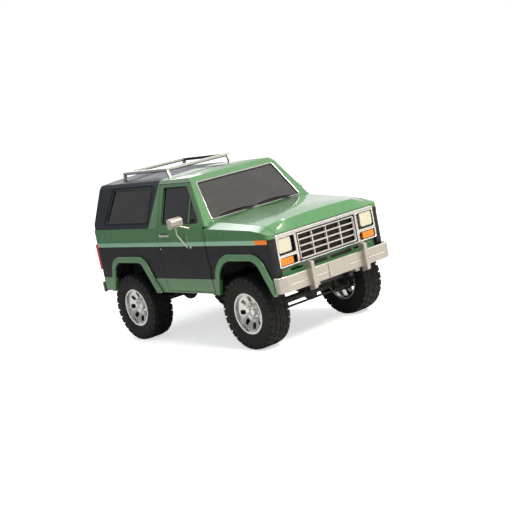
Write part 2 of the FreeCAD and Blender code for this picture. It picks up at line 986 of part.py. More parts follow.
def roof_rack(roof):
    """A flat bar bent to a rectangle on four splayed feet."""
    front = XF - s.rack_front_back
    rear = front - s.rack_length
    z = s.crown_z + s.rack_rise

    def ring(half, inset):
        return [
            (front - inset, -half, s.rack_bar),
            (front - inset, half, s.rack_bar),
            (rear + inset, half, s.rack_bar),
            (rear + inset, -half, s.rack_bar),
        ]

    loops = [ring(s.rack_half, 0), ring(s.rack_half - s.rack_bar, s.rack_bar)]
    pieces = [slab("rack_ring", "XY", loops, z, z + s.rack_thickness)]
    for i, (x, way) in enumerate(((front - 3 * s.rack_bar, 1), (rear + 3 * s.rack_bar, -1))):
        leg = [
            (x, z),
            (x - way * s.rack_bar, z),
            (x + way * s.rack_bar, s.roof_edge_z),
            (x + 2 * way * s.rack_bar, s.roof_edge_z),
        ]
        for side in (-1, 1):
            inner = side * (s.rack_half - s.rack_bar)
            low, high = sorted((inner, side * s.rack_half))
            pieces.append(slab(f"rack_leg_{i}_{side + 1}", "XZ", [leg], low, high))
    return cut("roof_rack", joined("rack_frame", pieces), roof)


# bonnet, fenders and nose

FENDER_REAR = DOOR_FRONT + s.panel_gap
TOP_PLACES = (FENDER_REAR, XF + s.top_mid_reach, XF + s.top_fore_reach, NOSE)


def along(x, heights):
    """A height between those at the four places along the bonnet."""
    pairs = list(zip(TOP_PLACES, heights))
    for (x0, z0), (x1, z1) in zip(pairs, pairs[1:]):
        if x <= x1 + s.glass:
            return z0 + (z1 - z0) * (x - x0) / (x1 - x0)
    return heights[-1]


EDGE_HEIGHTS = (s.edge_rear_z, s.edge_mid_z, s.edge_fore_z, s.edge_nose_z)
SHOULDER_HEIGHTS = (s.shoulder_rear_z, s.shoulder_mid_z, s.shoulder_fore_z, s.shoulder_nose_z)


def fender_loop(x, inset):
    """The right fender's full cross-section at a place, from the side to the bonnet's edge."""
    shoulder = along(x, SHOULDER_HEIGHTS) - inset
    edge = along(x, EDGE_HEIGHTS) - inset
    inner = s.bonnet_half + s.panel_gap + (s.skin if inset else 0)
    low = s.sill_z - (OVERRUN if inset else 0)
    side = [
        (-(side_half(max(z, s.sill_z)) - inset), z) for z in (
            low,
            s.low_crease_z,
            s.crease_z,
            s.stripe_z,
            shoulder,
        )
    ]
    return [*side, (-inner, edge), (-inner, low)]


def fender(cab):
    """The right front fender with its arch lip, and the room behind its skin."""
    outer = lofted("fender_outer", "YZ", [(x, fender_loop(x, 0)) for x in TOP_PLACES])
    room = lofted("fender_room", "YZ", [(x, fender_loop(x, s.skin)) for x in TOP_PLACES])
    face = NOSE - s.panel_depth
    keep = block("room_box", (FENDER_REAR - OVERRUN, -REACH, 0), (face, 0, REACH))
    hollow = shared("fender_hollow", [room, keep])
    flange = s.bonnet_half + s.panel_gap + s.skin
    low_edge = [
        (FENDER_REAR - OVERRUN, 0),
        (face, 0),
        (face, s.panel_low_z),
        (face, s.edge_nose_z - 3 * s.skin),
        (TOP_PLACES[1], s.edge_mid_z - 3 * s.skin),
        (FENDER_REAR - OVERRUN, s.edge_rear_z - 3 * s.skin),
    ]
    under = slab("fender_under", "XZ", [low_edge], -(flange + s.glass), 0)
    plan = [
        (FENDER_REAR, 0),
        (FENDER_REAR, -s.crease_half),
        (NOSE, -s.crease_half, s.nose_corner),
        (NOSE, 0),
    ]
    pin_y = s.bonnet_half + s.panel_gap
    shell = cut(
        "fender_shell",
        shared("fender_plan", [outer, slab("fender_top", "XY", [plan], 0, REACH)]),
        hollow,
        under,
    )
    pin = rod(
        "bonnet_pin",
        (BONNET_AXIS_X, -pin_y - s.skin, BONNET_AXIS_Z),
        (BONNET_AXIS_X, -pin_y + s.wall, BONNET_AXIS_Z),
        s.hinge_pin,
    )
    whole = joined("fender_whole", [shell, flare("front_flare", XF, True), pin])
    bumper = block(
        "bumper_room",
        (NOSE - s.bumper_room, -REACH, 0),
        (REACH, 0, s.bumper_high_z + s.panel_gap),
    )
    arch = slab("fender_arch", "XZ", [arch_loop(XF, True)], -REACH, REACH)
    panel = block(
        "panel_room",
        (face - s.skin, -s.panel_half, s.panel_low_z),
        (REACH, 0, s.panel_high_z),
    )
    return cut("fender_right", whole, arch, bumper, panel, cab, *hinge_room("hinge_room"))


BONNET_REAR = SCREEN_LOW + s.cowl_run
BONNET_AXIS_X = BONNET_REAR + s.hinge_pin + s.glass
BONNET_AXIS_Z = s.edge_rear_z - s.bonnet_skin / 2 - s.glass


def bonnet_loop(x, edge, bulge, crown, skin):
    """The bonnet's cross-section: flat flanks beside a crowned middle."""
    return [
        (-s.bonnet_half, edge),
        (-s.bulge_half, bulge, 0, (0, crown)),
        (s.bulge_half, bulge),
        (s.bonnet_half, edge),
        (s.bonnet_half, edge - skin),
        (s.bulge_half, bulge - skin, 0, (0, crown - skin)),
        (-s.bulge_half, bulge - skin),
        (-s.bonnet_half, edge - skin),
    ]


def bonnet():
    """The bonnet, crowned, with a lip turned down at the nose and bores for its hinge pins."""
    lip = NOSE - s.lip_back
    tip = NOSE - s.hinge_play
    places = (
        (BONNET_REAR, s.bulge_rear_z, s.crown_rear_z, s.bonnet_skin),
        (TOP_PLACES[1], s.bulge_mid_z, s.crown_mid_z, s.bonnet_skin),
        (TOP_PLACES[2], s.bulge_fore_z, s.crown_fore_z, s.bonnet_skin),
        (lip, s.bulge_lip_z, s.crown_lip_z, s.bonnet_skin),
        (tip, s.edge_nose_z, s.edge_nose_z + s.hinge_play, s.panel_gap),
    )
    stations = [
        (x, bonnet_loop(x, along(x, EDGE_HEIGHTS), bulge, crown, skin)) for x, bulge, crown, skin in places
    ]
    skin = lofted("bonnet_skin", "YZ", stations)
    bores = []
    for side in (-1, 1):
        start = (BONNET_AXIS_X, side * (s.bonnet_half - s.wall - s.panel_gap), BONNET_AXIS_Z)
        end = (BONNET_AXIS_X, side * (s.bonnet_half + s.wall), BONNET_AXIS_Z)
        bores.append(rod(f"bonnet_bore_{side + 1}", start, end, s.hinge_pin + s.hinge_play))
    return cut("bonnet_cut", skin, *bores)


def lamp_face(name, y, z, width, height, near, far, corner):
    """A lamp's rounded rectangle with its depth."""
    loop = [
        (y - width / 2, z - height / 2, corner),
        (y + width / 2, z - height / 2, corner),
        (y + width / 2, z + height / 2, corner),
        (y - width / 2, z + height / 2, corner),
    ]
    return slab(name, "YZ", [loop], near, far)


def both_sides(name, piece):
    """A right-hand piece and its mirror image as one node's solids."""
    pair = doc.addObject("Part::Compound", name)
    pair.Links = [piece, mirrored(name + "_left", piece)]
    return pair


def lamp_boxes():
    """The recesses for headlamp and signal on the right of the grille panel."""
    middle = (s.lamp_box_inner + s.lamp_box_outer) / 2
    width = s.lamp_box_outer - s.lamp_box_inner
    divide = s.lamp_z - s.lamp_height / 2 - s.skin
    return (
        (-middle, (divide + s.grille_high_z) / 2, width, s.grille_high_z - divide),
        (-middle, s.signal_z, width, s.signal_height + s.grille_bar),
    )


def grille_panel():
    """The panel that frames grille and lamps, with deep lamp recesses."""
    face = [
        (-s.panel_half, s.panel_low_z, s.skin),
        (s.panel_half, s.panel_low_z, s.skin),
        (s.panel_half, s.panel_high_z, s.skin),
        (-s.panel_half, s.panel_high_z, s.skin),
    ]
    window = [
        (-s.grille_half, s.grille_low_z),
        (s.grille_half, s.grille_low_z),
        (s.grille_half, s.grille_high_z),
        (-s.grille_half, s.grille_high_z),
    ]
    back = NOSE - s.panel_depth
    panel = slab("panel_plate", "YZ", [face, window], back, NOSE)
    for i, (y, z, width, height) in enumerate(lamp_boxes()):
        box = lamp_face(f"lamp_box_{i}", y, z, width, height, back + s.skin, NOSE + OVERRUN, s.grille_bar)
        panel = cut(f"panel_cut_{i}", panel, box, mirrored(f"lamp_box_left_{i}", box))
    return panel


def grille():
    """Four by four openings: upright and level bars on a frame, before a dark screen."""
    near = NOSE - s.panel_depth + s.glass
    bars = []
    width, height = 2 * s.grille_half, s.grille_high_z - s.grille_low_z
    for i in range(5):
        y = -s.grille_half + (width - s.grille_bar) * i / 4
        z = s.grille_low_z + (height - s.grille_bar) * i / 4
        bars.append(
            block(
                f"upright_{i}",
                (near, y, s.grille_low_z),
                (NOSE - s.glass, y + s.grille_bar, s.grille_high_z),
            ),
        )
        bars.append(
            block(f"level_{i}", (near, -s.grille_half, z), (NOSE - s.skin, s.grille_half, z + s.grille_bar))
        )
    bars.append(
        block(
            "screen",
            (near - s.glass, -s.grille_half, s.grille_low_z),
            (near, s.grille_half, s.grille_high_z),
        )
    )
    return joined("grille_bars", bars)


def valance():
    """The panel below the grille, with its row of slots."""
    near, far = NOSE - s.panel_depth, NOSE - s.panel_depth + s.skin
    low = s.bumper_high_z - s.skin
    half = s.panel_half - s.skin
    plate = block("valance_plate", (near, -half, low), (far, half, s.panel_low_z))
    slots = []
    for side in (-1, 1):
        for i in (1, 2):
            y = side * i * half / 3
            slots.append(
                lamp_face(
                    f"valance_slot_{side + 1}_{i}",
                    y,
                    (low + s.panel_low_z) / 2,
                    half / 4,
                    s.skin,
                    near - SINK,
                    far + SINK,
                    s.glass,
                )
            )
    return cut("front_valance", plate, *slots)


def bumper_plan(face, way, wrap, taper):
    """A bumper's shell in plan: a straight face with its ends turned round the corners."""
    outer = [
        (face - way * wrap, s.bumper_half),
        (face - way * s.bumper_bevel, s.bumper_half, s.bumper_shell),
        (face, s.bumper_half - taper, s.bumper_shell),
    ]
    shell = s.bumper_shell
    inner = [
        (face - way * shell, s.bumper_half - taper - shell / 2),
        (face - way * (s.bumper_bevel + shell / 2), s.bumper_half - shell),
        (face - way * wrap, s.bumper_half - shell),
    ]
    right = [(p[0], -p[1], *p[2:]) for p in outer]
    return [*right, *outer[::-1], *inner[::-1], *[(p[0], -p[1]) for p in inner]]


def front_bumper():
    """Chrome bumper with a raised line, two upright guards, the plate's pad and its brackets."""
    face = LENGTH / 2 - s.guard_depth
    low, high = s.bumper_low_z, s.bumper_high_z
    pieces = [slab("front_shell", "XY", [bumper_plan(face, 1, s.bumper_wrap, s.bumper_taper)], low, high)]
    line_z = low + (high - low) * 2 / 5
    half = s.bumper_half - s.bumper_taper - s.skin
    pieces.append(
        block("front_line", (face - SINK, -half, line_z), (face + s.glass, half, line_z + s.grille_bar))
    )
    for side in (-1, 1):
        guard = [
            (face - s.bumper_shell, s.guard_low_z, s.glass),
            (LENGTH / 2, s.guard_low_z + s.skin, s.skin),
            (LENGTH / 2, s.guard_high_z - s.skin, s.skin),
            (face - s.bumper_shell, s.guard_high_z, s.glass),
        ]
        y = side * s.guard_y
        pieces.append(slab(f"guard_{side + 1}", "XZ", [guard], y - s.guard_width / 2, y + s.guard_width / 2))
        y = side * s.rail_y
        pieces.append(
            block(
                f"front_bracket_{side + 1}",
                (RAIL_FRONT, y - s.rail_width / 2, s.bumper_low_z - s.wall),
                (face - s.bumper_shell, y + s.rail_width / 2, s.bumper_low_z + s.wall),
            )
        )
    pad = block(
        "plate_pad",
        (face, -s.plate_half, low + s.glass),
        (face + s.grille_bar, s.plate_half, high - s.glass),
    )
    middle = (low + high) / 2
    holes = []
    for i, (y, z) in enumerate(((-1, -1), (-1, 1), (1, -1), (1, 1))):
        centre = (face - s.glass, y * s.plate_hole_y / 2, middle + z * s.plate_hole_z / 2)
        end = (face + s.guard_depth, centre[1], centre[2])
        holes.append(rod(f"plate_hole_{i}", centre, end, s.plate_hole))
    return cut("front_bumper", joined("bumper_whole", [*pieces, pad]), *holes)


def rear_bumper():
    """Chrome rear bumper and its brackets."""
    face = -LENGTH / 2
    low, high = s.rear_bumper_low_z, s.rear_bumper_high_z
    wrap = TAIL - s.panel_gap - face
    pieces = [slab("rear_shell", "XY", [bumper_plan(face, -1, wrap, s.bumper_shell)], low, high)]
    for side in (-1, 1):
        y = side * s.rail_y
        pieces.append(
            block(
                f"rear_bracket_{side + 1}",
                (face + s.bumper_shell, y - s.rail_width / 2, s.rail_low_z),
                (RAIL_REAR, y + s.rail_width / 2, s.sill_z - s.panel_gap),
            )
        )
    return joined("rear_bumper", pieces)


def tailgate():
    """The drop-down gate, panelled on its outside, with bores for its pins."""
    plate = block(
        "gate_plate",
        (TAIL, -s.gate_half, s.gate_low_z),
        (TAIL + s.wall, s.gate_half, s.gate_high_z),
    )
    panel = block(
        "gate_panel",
        (TAIL - SINK, -s.gate_half + s.gate_border, s.gate_low_z + s.gate_border),
        (TAIL + s.glass, s.gate_half - s.gate_border, s.gate_high_z - s.gate_border),
    )
    bores = []
    for side in (-1, 1):
        start = (GATE_X, side * (s.gate_half - s.wall - s.panel_gap), GATE_Z)
        bores.append(
            rod(
                f"gate_bore_{side + 1}",
                start,
                (GATE_X, side * (s.gate_half + SINK), GATE_Z),
                s.hinge_pin + s.hinge_play,
            ),
        )
    return cut("tailgate", plate, panel, *bores)


# frame, floor and inner panels

RAIL_FRONT = NOSE - s.panel_depth
RAIL_REAR = TAIL + s.wall
CROSSMEMBERS = (
    XR - s.member_reach,
    XR + s.member_reach,
    XR + s.wheelbase / 2,
    XF - s.member_reach,
    XF + s.member_reach,
)


def frame_rails():
    """Ladder frame: two rails, crossmembers, body mounts, spring hangers and arm brackets."""
    pieces = []
    low, high = s.rail_low_z, s.rail_low_z + s.rail_height
    for side in (-1, 1):
        y = side * s.rail_y
        pieces.append(
            block(
                f"rail_{side + 1}",
                (RAIL_REAR, y - s.rail_width / 2, low),
                (RAIL_FRONT, y + s.rail_width / 2, high),
            )
        )
        for i, x in enumerate((RAIL_REAR + s.wall, XR + s.member_reach, DOOR_REAR, DOOR_FRONT - s.wall)):
            pieces.append(rod(f"mount_{side + 1}_{i}", (x, y, high), (x, y, s.floor_z), s.skin))
        for i, x in enumerate((XR - s.leaf_reach, XR + s.leaf_reach, XF - s.arm_reach)):
            inner, outer = sorted((y, side * (s.leaf_y + s.rail_width / 2)))
            pieces.append(
                block(
                    f"hanger_{side + 1}_{i}",
                    (x - s.wall, inner, low),
                    (x + s.wall, outer, low + s.rail_width),
                )
            )
    for i, x in enumerate(CROSSMEMBERS):
        pieces.append(
            block(f"member_{i}", (x - s.wall, -s.rail_y, low), (x + s.wall, s.rail_y, low + s.wall))
        )
    return joined("ladder", pieces)


def tunnel_loop(grow):
    """The hump over gearbox and shafts."""
    half, top = s.tunnel_half + grow, s.tunnel_z + grow
    return [
        (-half, s.floor_z - OVERRUN),
        (half, s.floor_z - OVERRUN),
        (half, top, s.wall),
        (-half, top, s.wall),
    ]


def house_space(name, axle, front, inner, low):
    """The whole space a wheelhouse takes up, walls and all."""
    grow = s.flare_width / 2 + s.liner
    return arch_slab(name, axle, front, grow, -s.crease_half, -(inner - s.liner), low)


def wheelhouse(name, axle, front, inner, skin):
    """A wheel's inner panel: an arched roof and the wall that closes its inner side."""
    low = s.bumper_high_z + s.panel_gap if front else s.floor_z
    outer = house_space(name + "_outer", axle, front, inner, low)
    room = slab(name + "_room", "XZ", [arch_loop(axle, front, s.flare_width / 2)], -REACH, -inner)
    nose = block(name + "_nose", (NOSE - s.panel_depth, -REACH, 0), (REACH, 0, REACH))
    return cut(name, outer, room, nose, skin)


def floor_pan(shell):
    """Floor, tunnel and sill boxes from the firewall to the tail, open over the rear wheels."""
    side_low = side_half(s.sill_z) - s.wall
    side_high = side_half(s.rocker_z) - s.wall
    top = s.floor_z + s.floor_thickness
    half = s.floor_half
    right = [
        (-s.tunnel_half, s.floor_z),
        (-(half - s.wall), s.floor_z),
        (-(half - s.wall), s.sill_z),
        (-side_low, s.sill_z),
        (-side_high, s.rocker_z),
        (-half, s.rocker_z),
        (-half, top),
    ]
    loop = [*right, *[(-y, z) for y, z in right[::-1]]]
    slab_floor = slab("floor_slab", "YZ", [loop], RAIL_REAR, FENDER_REAR)
    hump = slab("tunnel_outer", "YZ", [tunnel_loop(s.liner)], DOOR_REAR, FENDER_REAR)
    hole = slab("tunnel_inner", "YZ", [tunnel_loop(0)], DOOR_REAR - OVERRUN, FENDER_REAR + OVERRUN)
    solid = cut("floor_open", joined("floor_whole", [slab_floor, hump]), hole)
    house = house_space("rear_space", XR, False, s.rear_liner_half, s.sill_z - OVERRUN)
    return cut("floor_pan", solid, shell, house, mirrored("rear_space_left", house))


def cowl(wing):
    """Firewall, door posts and cowl box, with the fixed halves of the door hinges."""
    rear, front = FENDER_REAR, FENDER_REAR + s.wall
    half = s.bonnet_half + s.glass
    wall = block("firewall", (rear, -half, s.floor_z), (rear + s.skin, half, s.shoulder_z))
    box = block(
        "cowl_box",
        (rear, -(s.bonnet_half - s.wall), s.shoulder_z - s.wall),
        (BONNET_REAR - s.panel_gap, s.bonnet_half - s.wall, s.shoulder_z),
    )
    tunnel = slab("firewall_tunnel", "YZ", [tunnel_loop(0)], rear - OVERRUN, front + OVERRUN)
    post = side_wall("door_post", s.sill_z, s.shoulder_z, rear, front, s.skin + s.hinge_play, 3 * s.wall)
    post_top = shared(
        "door_post_top",
        [post, block("post_box", (rear, -REACH, 0), (front, 0, s.shoulder_rear_z - s.skin))],
    )
    hinges = door_hinges()
    right = joined("cowl_right", [cut("door_post_fit", post_top, wing), *hinges])
    return joined(
        "cowl",
        [
            cut("cowl_centre", joined("cowl_walls", [wall, box]), tunnel),
            right,
            mirrored("cowl_left", right),
        ],
    )


def radiator():
    """Radiator in its support between the inner fenders."""
    near = NOSE - s.panel_depth - s.wall
    half = s.front_liner_half - s.liner
    frame = block(
        "radiator_frame",
        (near, -half, s.rail_low_z + s.rail_height),
        (near + s.wall, half, s.panel_high_z - s.wall),
    )
    return cut(
        "radiator",
        frame,
        block(
            "radiator_core",
            (near - SINK, -s.grille_half + s.wall * 3, s.panel_low_z),
            (near + s.glass, s.grille_half - s.wall * 3, s.panel_high_z - 2 * s.wall),
        ),
    )


# wheels, axles and steering


def origin_plane(body, role):
    """One of a body's own origin planes."""
    return next(plane for plane in body.Origin.OriginFeatures if plane.Role == role)


def body_sketch(body, name, role, loops):
    """A sketch on one of the body's origin planes."""
    sketch = body.newObject("Sketcher::SketchObject", name)
    sketch.AttachmentSupport = [(origin_plane(body, role), "")]
    sketch.MapMode = "FlatFace"
    for loop in loops:
        sketch.addGeometry(geometry(loop), False)
    return sketch


def revolved_body(name, loop):
    """A body turned about the wheel's own axis, from a half section of width against radius."""
    body = doc.addObject("PartDesign::Body", name)
    sketch = body_sketch(body, name + "_section", "YZ_Plane", [loop])
    turn = body.newObject("PartDesign::Revolution", name + "_turn")
    turn.Profile = sketch
    turn.ReferenceAxis = (sketch, ["H_Axis"])
    turn.Angle = 360
    return body


LUG_COUNT = 28
LUG_HALF_SHARE = 0.38


def many_sided(radius):
    """A ring in side view with one flat to each lug, its corners at a radius."""
    turns = [2 * math.pi * i / LUG_COUNT for i in range(LUG_COUNT)]
    return [(radius * math.sin(turn), -radius * math.cos(turn)) for turn in turns]


def lug_ring(low, high, phase):
    """A toothed ring in side view, each lug standing from one radius to another."""
    loop = []
    for i in range(LUG_COUNT):
        for way, radius in ((-1, low), (-1, high), (1, high), (1, low)):
            turn = 2 * math.pi * (i + phase + way * LUG_HALF_SHARE) / LUG_COUNT
            loop.append((radius * math.sin(turn), -radius * math.cos(turn)))
    return loop


def tyre():
    """An off-road tyre: a many-sided carcass, flared to its beads, with two staggered rings of lugs."""
    half = s.tyre_width / 2
    bead = s.rim_width / 2
    shoulder = half - 2 * s.tread_drop
    wall = s.tyre_radius - s.rim_radius
    skirt = s.rim_radius + wall * 2 / 3
    tread = s.tyre_radius - s.lug_height
    outside = ((-half, skirt), (-shoulder, tread), (shoulder, tread), (half, skirt))
    seat = s.rim_radius / math.cos(math.pi / LUG_COUNT)
    mouth = seat + wall / 3 * (half + OVERRUN - bead) / (half - bead)
    inside = ((-half - OVERRUN, mouth), (-bead, seat), (bead, seat), (half + OVERRUN, mouth))
    carcass, hollow = (
        lofted(name, "XZ", [(y, many_sided(radius)) for y, radius in stations])
        for name, stations in (("tyre_carcass", outside), ("tyre_hollow", inside))
    )
    left = slab(
        "tyre_lugs_left",
        "XZ",
        [lug_ring(skirt, s.tyre_radius, LUG_HALF_SHARE)],
        s.lug_groove,
        shoulder,
    )
    staggered = LUG_HALF_SHARE + 1 / 2
    right = slab(
        "tyre_lugs_right",
        "XZ",
        [lug_ring(skirt, s.tyre_radius, staggered)],
        -shoulder,
        -s.lug_groove,
    )
    return cut("tyre_whole", joined("tyre_filled", [carcass, left, right]), hollow)


def rim_section():
    """The rim's cross-section: barrel, flanges, dished face, hub cap and bore."""
    bead = s.rim_width / 2
    lip = bead + s.rim_flange
    edge = lip - s.glass
    flange = s.rim_radius + s.grille_bar
    seat = s.rim_radius - s.running_gap
    barrel = s.rim_radius - s.grille_bar
    face = s.rim_face
    brim = lip - s.dish_lip
    bowl = brim - s.dish_fall
    bend = s.window_low - s.grille_bar
    return [
        (-s.hub_depth, s.spindle_radius + s.running_gap),
        (-s.hub_depth, s.hub_radius),
        (-face, s.hub_radius),
        (bowl - face, bend),
        (brim - face, barrel - s.glass),
        (-lip, barrel),
        (-lip, flange),
        (-edge, flange),
        (-edge, seat),
        (edge, seat),
        (edge, flange),
        (lip, flange),
        (lip, barrel),
        (brim, barrel - s.glass),
        (bowl, bend),
        (0, s.hub_radius + s.grille_bar),
        (s.wall / 2, s.hub_radius),
        (s.wall / 2, s.hub_cap),
        (s.dish_cap, s.hub_cap - s.glass, s.glass),
        (s.dish_cap, 0),
        (face, 0),
        (face, s.spindle_radius + s.running_gap),
    ]


def rim_window():
    """One of the eight tapered openings in the dished face."""
    low, high = s.window_low, s.rim_radius - s.window_rim
    narrow, wide = low * s.spoke_share, high * s.spoke_share
    return [
        (-narrow, low, s.grille_bar),
        (narrow, low, s.grille_bar),
        (wide, high, s.skin),
        (-wide, high, s.skin),
    ]


def rim_body(name):
    """A deep steel rim with eight openings round its hub."""
    body = revolved_body(name, rim_section())
    window = body_sketch(body, name + "_window", "XZ_Plane", [rim_window()])
    doc.recompute()
    solid_before = body.Shape.Volume
    pocket = body.newObject("PartDesign::Pocket", name + "_pocket")
    pocket.Profile = window
    pocket.Type = "ThroughAll"
    pocket.Midplane = True
    pattern = body.newObject("PartDesign::PolarPattern", name + "_ring")
    pattern.Originals = [pocket]
    pattern.Axis = (window, ["N_Axis"])
    pattern.Angle = 360
    pattern.Occurrences = 8
    body.Tip = pattern
    doc.recompute()
    if body.Shape.Volume >= solid_before:
        raise SystemExit("the rim's openings cut nothing")
    return body


def wheel(corner, x, side, rubber):
    """Tyre and rim at one corner of the car; side is 1 on the left."""
    turn = Rotation(Vector(0, 0, 1), 0 if side > 0 else 180)
    place = (x, side * s.half_track, s.tyre_radius)
    copy = doc.addObject("Part::Compound", f"tyre_body_{corner}")
    copy.Links = [rubber]
    node(f"tyre_{corner}", put(copy, place, turn))
    node(f"rim_{corner}", put(rim_body(f"rim_body_{corner}"), place, turn))


AXLE_Z = s.tyre_radius
SPINDLE_END = s.half_track + s.rim_face - s.running_gap


def across(name, x, z, start, end, radius):
    """A round bar along the car's width."""
    return rod(name, (x, start, z), (x, end, z), radius)


def differential(name, x, y, radius):
    """The bulb in the middle of an axle, with its round cover."""
    bulb = turned(
        name,
        "YZ",
        [[(y - radius, AXLE_Z), (y, AXLE_Z + radius, radius / 2), (y + radius, AXLE_Z)]],
        x,
        Vector(0, 1, 0),
        Vector(x, y, AXLE_Z),
    )
    return bulb


def rear_axle():
    """Tube, differential, brake drums, spindles and spring pads of the rear axle."""
    pieces = [differential("rear_bulb", XR, 0, s.rear_diff_radius)]
    drum_out = s.half_track - s.hub_depth - s.panel_gap
    pieces.append(across("rear_tube", XR, AXLE_Z, -drum_out, drum_out, s.axle_tube))
    pieces.append(across("rear_spindle", XR, AXLE_Z, -SPINDLE_END, SPINDLE_END, s.spindle_radius))
    nose = XR + s.rear_diff_radius + s.wall
    pieces.append(rod("rear_nose", (XR, 0, AXLE_Z), (nose, 0, AXLE_Z), s.axle_tube))
    for side in (-1, 1):
        pieces.append(
            across(
                f"drum_{side + 1}",
                XR,
                AXLE_Z,
                side * (drum_out - s.wall),
                side * drum_out,
                s.drum_radius,
            ),
        )
        y = side * s.leaf_y
        pad = block(
            f"pad_{side + 1}",
            (XR - s.axle_tube, y - s.leaf_width / 2, AXLE_Z),
            (XR + s.axle_tube, y + s.leaf_width / 2, AXLE_Z + s.axle_tube + s.glass),
        )
        pieces.append(pad)
    return joined("rear_axle", pieces)


def yoke(name, side):
    """The forked end of the front axle, bored for the kingpins."""
    inner, outer = s.kingpin_y - s.yoke_depth, s.kingpin_y + s.yoke_width / 2
    low, high = AXLE_Z - s.yoke_height, AXLE_Z + s.yoke_height
    fork = [
        (inner, low),
        (outer, low, s.glass),
        (outer, low + s.skin, s.glass),
        (inner + s.skin, low + s.skin, s.glass),
        (inner + s.skin, high - s.skin, s.glass),
        (outer, high - s.skin, s.glass),
        (outer, high, s.glass),
        (inner, high),
    ]
    plate = slab(
        name,
        "YZ",
        [[(side * y, z, *r) for y, z, *r in fork]],
        XF - s.yoke_width / 2,
        XF + s.yoke_width / 2,
    )
    bore = rod(
        name + "_bore",
        (XF, side * s.kingpin_y, low - SINK),
        (XF, side * s.kingpin_y, high + SINK),
        s.kingpin_radius + s.running_gap,
    )
    return cut(name + "_bored", plate, bore)


def front_axle(frame):
    """Tube, offset differential, forked ends, coil seats and the two trailing arms."""
    inner = s.kingpin_y - s.yoke_depth
    pieces = [differential("front_bulb", XF, s.front_diff_y, s.front_diff_radius)]
    pieces.append(across("front_tube", XF, AXLE_Z, -inner - SINK, inner + SINK, s.axle_tube))
    nose = XF - s.front_diff_radius - s.wall
    pieces.append(
        rod("front_nose", (XF, s.front_diff_y, AXLE_Z), (nose, s.front_diff_y, AXLE_Z), s.axle_tube)
    )
    for side in (-1, 1):
        pieces.append(yoke(f"yoke_{side + 1}", side))
        start = (XF, side * s.arm_y, AXLE_Z)
        pieces.append(rod(f"arm_{side + 1}", start, (XF - s.arm_reach, side * s.arm_y, s.rail_low_z), s.skin))
        near, far = sorted((side * (s.coil_y - s.skin), side * (s.coil_y + s.skin)))
        end = XF + s.coil_radius + 2 * s.skin + s.glass
        pieces.append(block(f"shock_seat_{side + 1}", (XF, near, AXLE_Z - s.skin), (end, far, AXLE_Z)))
        seat = (XF, side * s.coil_y, AXLE_Z)
        pieces.append(rod(f"seat_{side + 1}", seat, (XF, side * s.coil_y, COIL_LOW), s.coil_radius))
    return cut("front_axle", joined("front_axle_whole", pieces), frame)


COIL_LOW = AXLE_Z + s.axle_tube + s.grille_bar


def knuckle(name, side):
    """Steering knuckle with kingpins, spindle, hub and the arm for the tie rod."""
    barrel = s.yoke_depth - s.skin - s.knuckle_gap
    reach = AXLE_Z + s.yoke_height - s.skin - s.knuckle_gap
    depth = 2 * s.yoke_height - 2 * s.skin - 2 * s.knuckle_gap
    hub_end = s.half_track - s.hub_depth - s.panel_gap
    y_inner, y_outer = sorted((side * s.kingpin_y, side * s.knuckle_face))
    pin_y = side * s.kingpin_y
    pieces = [
        block(
            name + "_block",
            (XF - s.yoke_width / 2, y_inner, reach - depth),
            (XF + s.yoke_width / 2, y_outer, reach),
        ),
        rod(name + "_barrel", (XF, pin_y, reach - depth), (XF, pin_y, reach), barrel),
        rod(
            name + "_kingpin",
            (XF, pin_y, AXLE_Z - s.yoke_height),
            (XF, pin_y, AXLE_Z + s.yoke_height),
            s.kingpin_radius,
        ),
        across(name + "_hub", XF, AXLE_Z, side * s.knuckle_face, side * hub_end, s.hub_radius - s.grille_bar),
        across(name + "_disc", XF, AXLE_Z, side * (hub_end - s.skin), side * hub_end, s.drum_radius),
        across(name + "_spindle", XF, AXLE_Z, side * s.knuckle_face, side * SPINDLE_END, s.spindle_radius),
    ]
    notch = XF + s.yoke_width / 2 + s.grille_bar
    arm = [
        (XF, pin_y),
        (notch, pin_y),
        (notch + s.arm_half, side * (s.kingpin_y - s.arm_half)),
        (XF + s.steering_arm + s.arm_half, side * (s.kingpin_y - s.arm_half), s.arm_half / 2),
        (XF + s.steering_arm + s.arm_half, side * (s.kingpin_y + s.arm_half), s.arm_half / 2),
        (XF, side * (s.kingpin_y + s.arm_half)),
    ]
    pieces.append(slab(name + "_arm", "XY", [arm], ARM_Z, ARM_Z + s.arm_half))
    return joined(name, pieces)


ARM_Z = AXLE_Z - s.arm_half


def tie_rod():
    """The bar between the steering arms, hung below them on upright studs."""
    x, z = XF + s.steering_arm, ARM_Z - s.running_gap - 2 * s.tie_rod_radius
    pieces = [across("tie_bar", x, z, -s.kingpin_y, s.kingpin_y, s.tie_rod_radius)]
    for side in (-1, 1):
        y = side * s.kingpin_y
        foot, top = z - s.tie_rod_radius - s.glass, ARM_Z - s.running_gap
        pieces.append(rod(f"tie_stud_{side + 1}", (x, y, foot), (x, y, top), s.tie_rod_radius + s.glass))
    return joined("tie_rod", pieces)


def coil(name, side):
    """A coil spring's envelope, waisted between its turns."""
    y, low, high = side * s.coil_y, COIL_LOW, s.coil_top_z
    turns = s.coil_turns
    pitch = (high - low) / turns
    outline = [(y, low)]
    for i in range(int(turns)):
        z = low + i * pitch
        outline += [
            (y + side * s.coil_radius * COIL_CORE_SHARE, z),
            (y + side * s.coil_radius, z + pitch / 2),
        ]
    outline += [(y + side * s.coil_radius * COIL_CORE_SHARE, high), (y, high)]
    return turned(name, "YZ", [outline], XF, Vector(0, 0, 1), Vector(XF, y, 0))


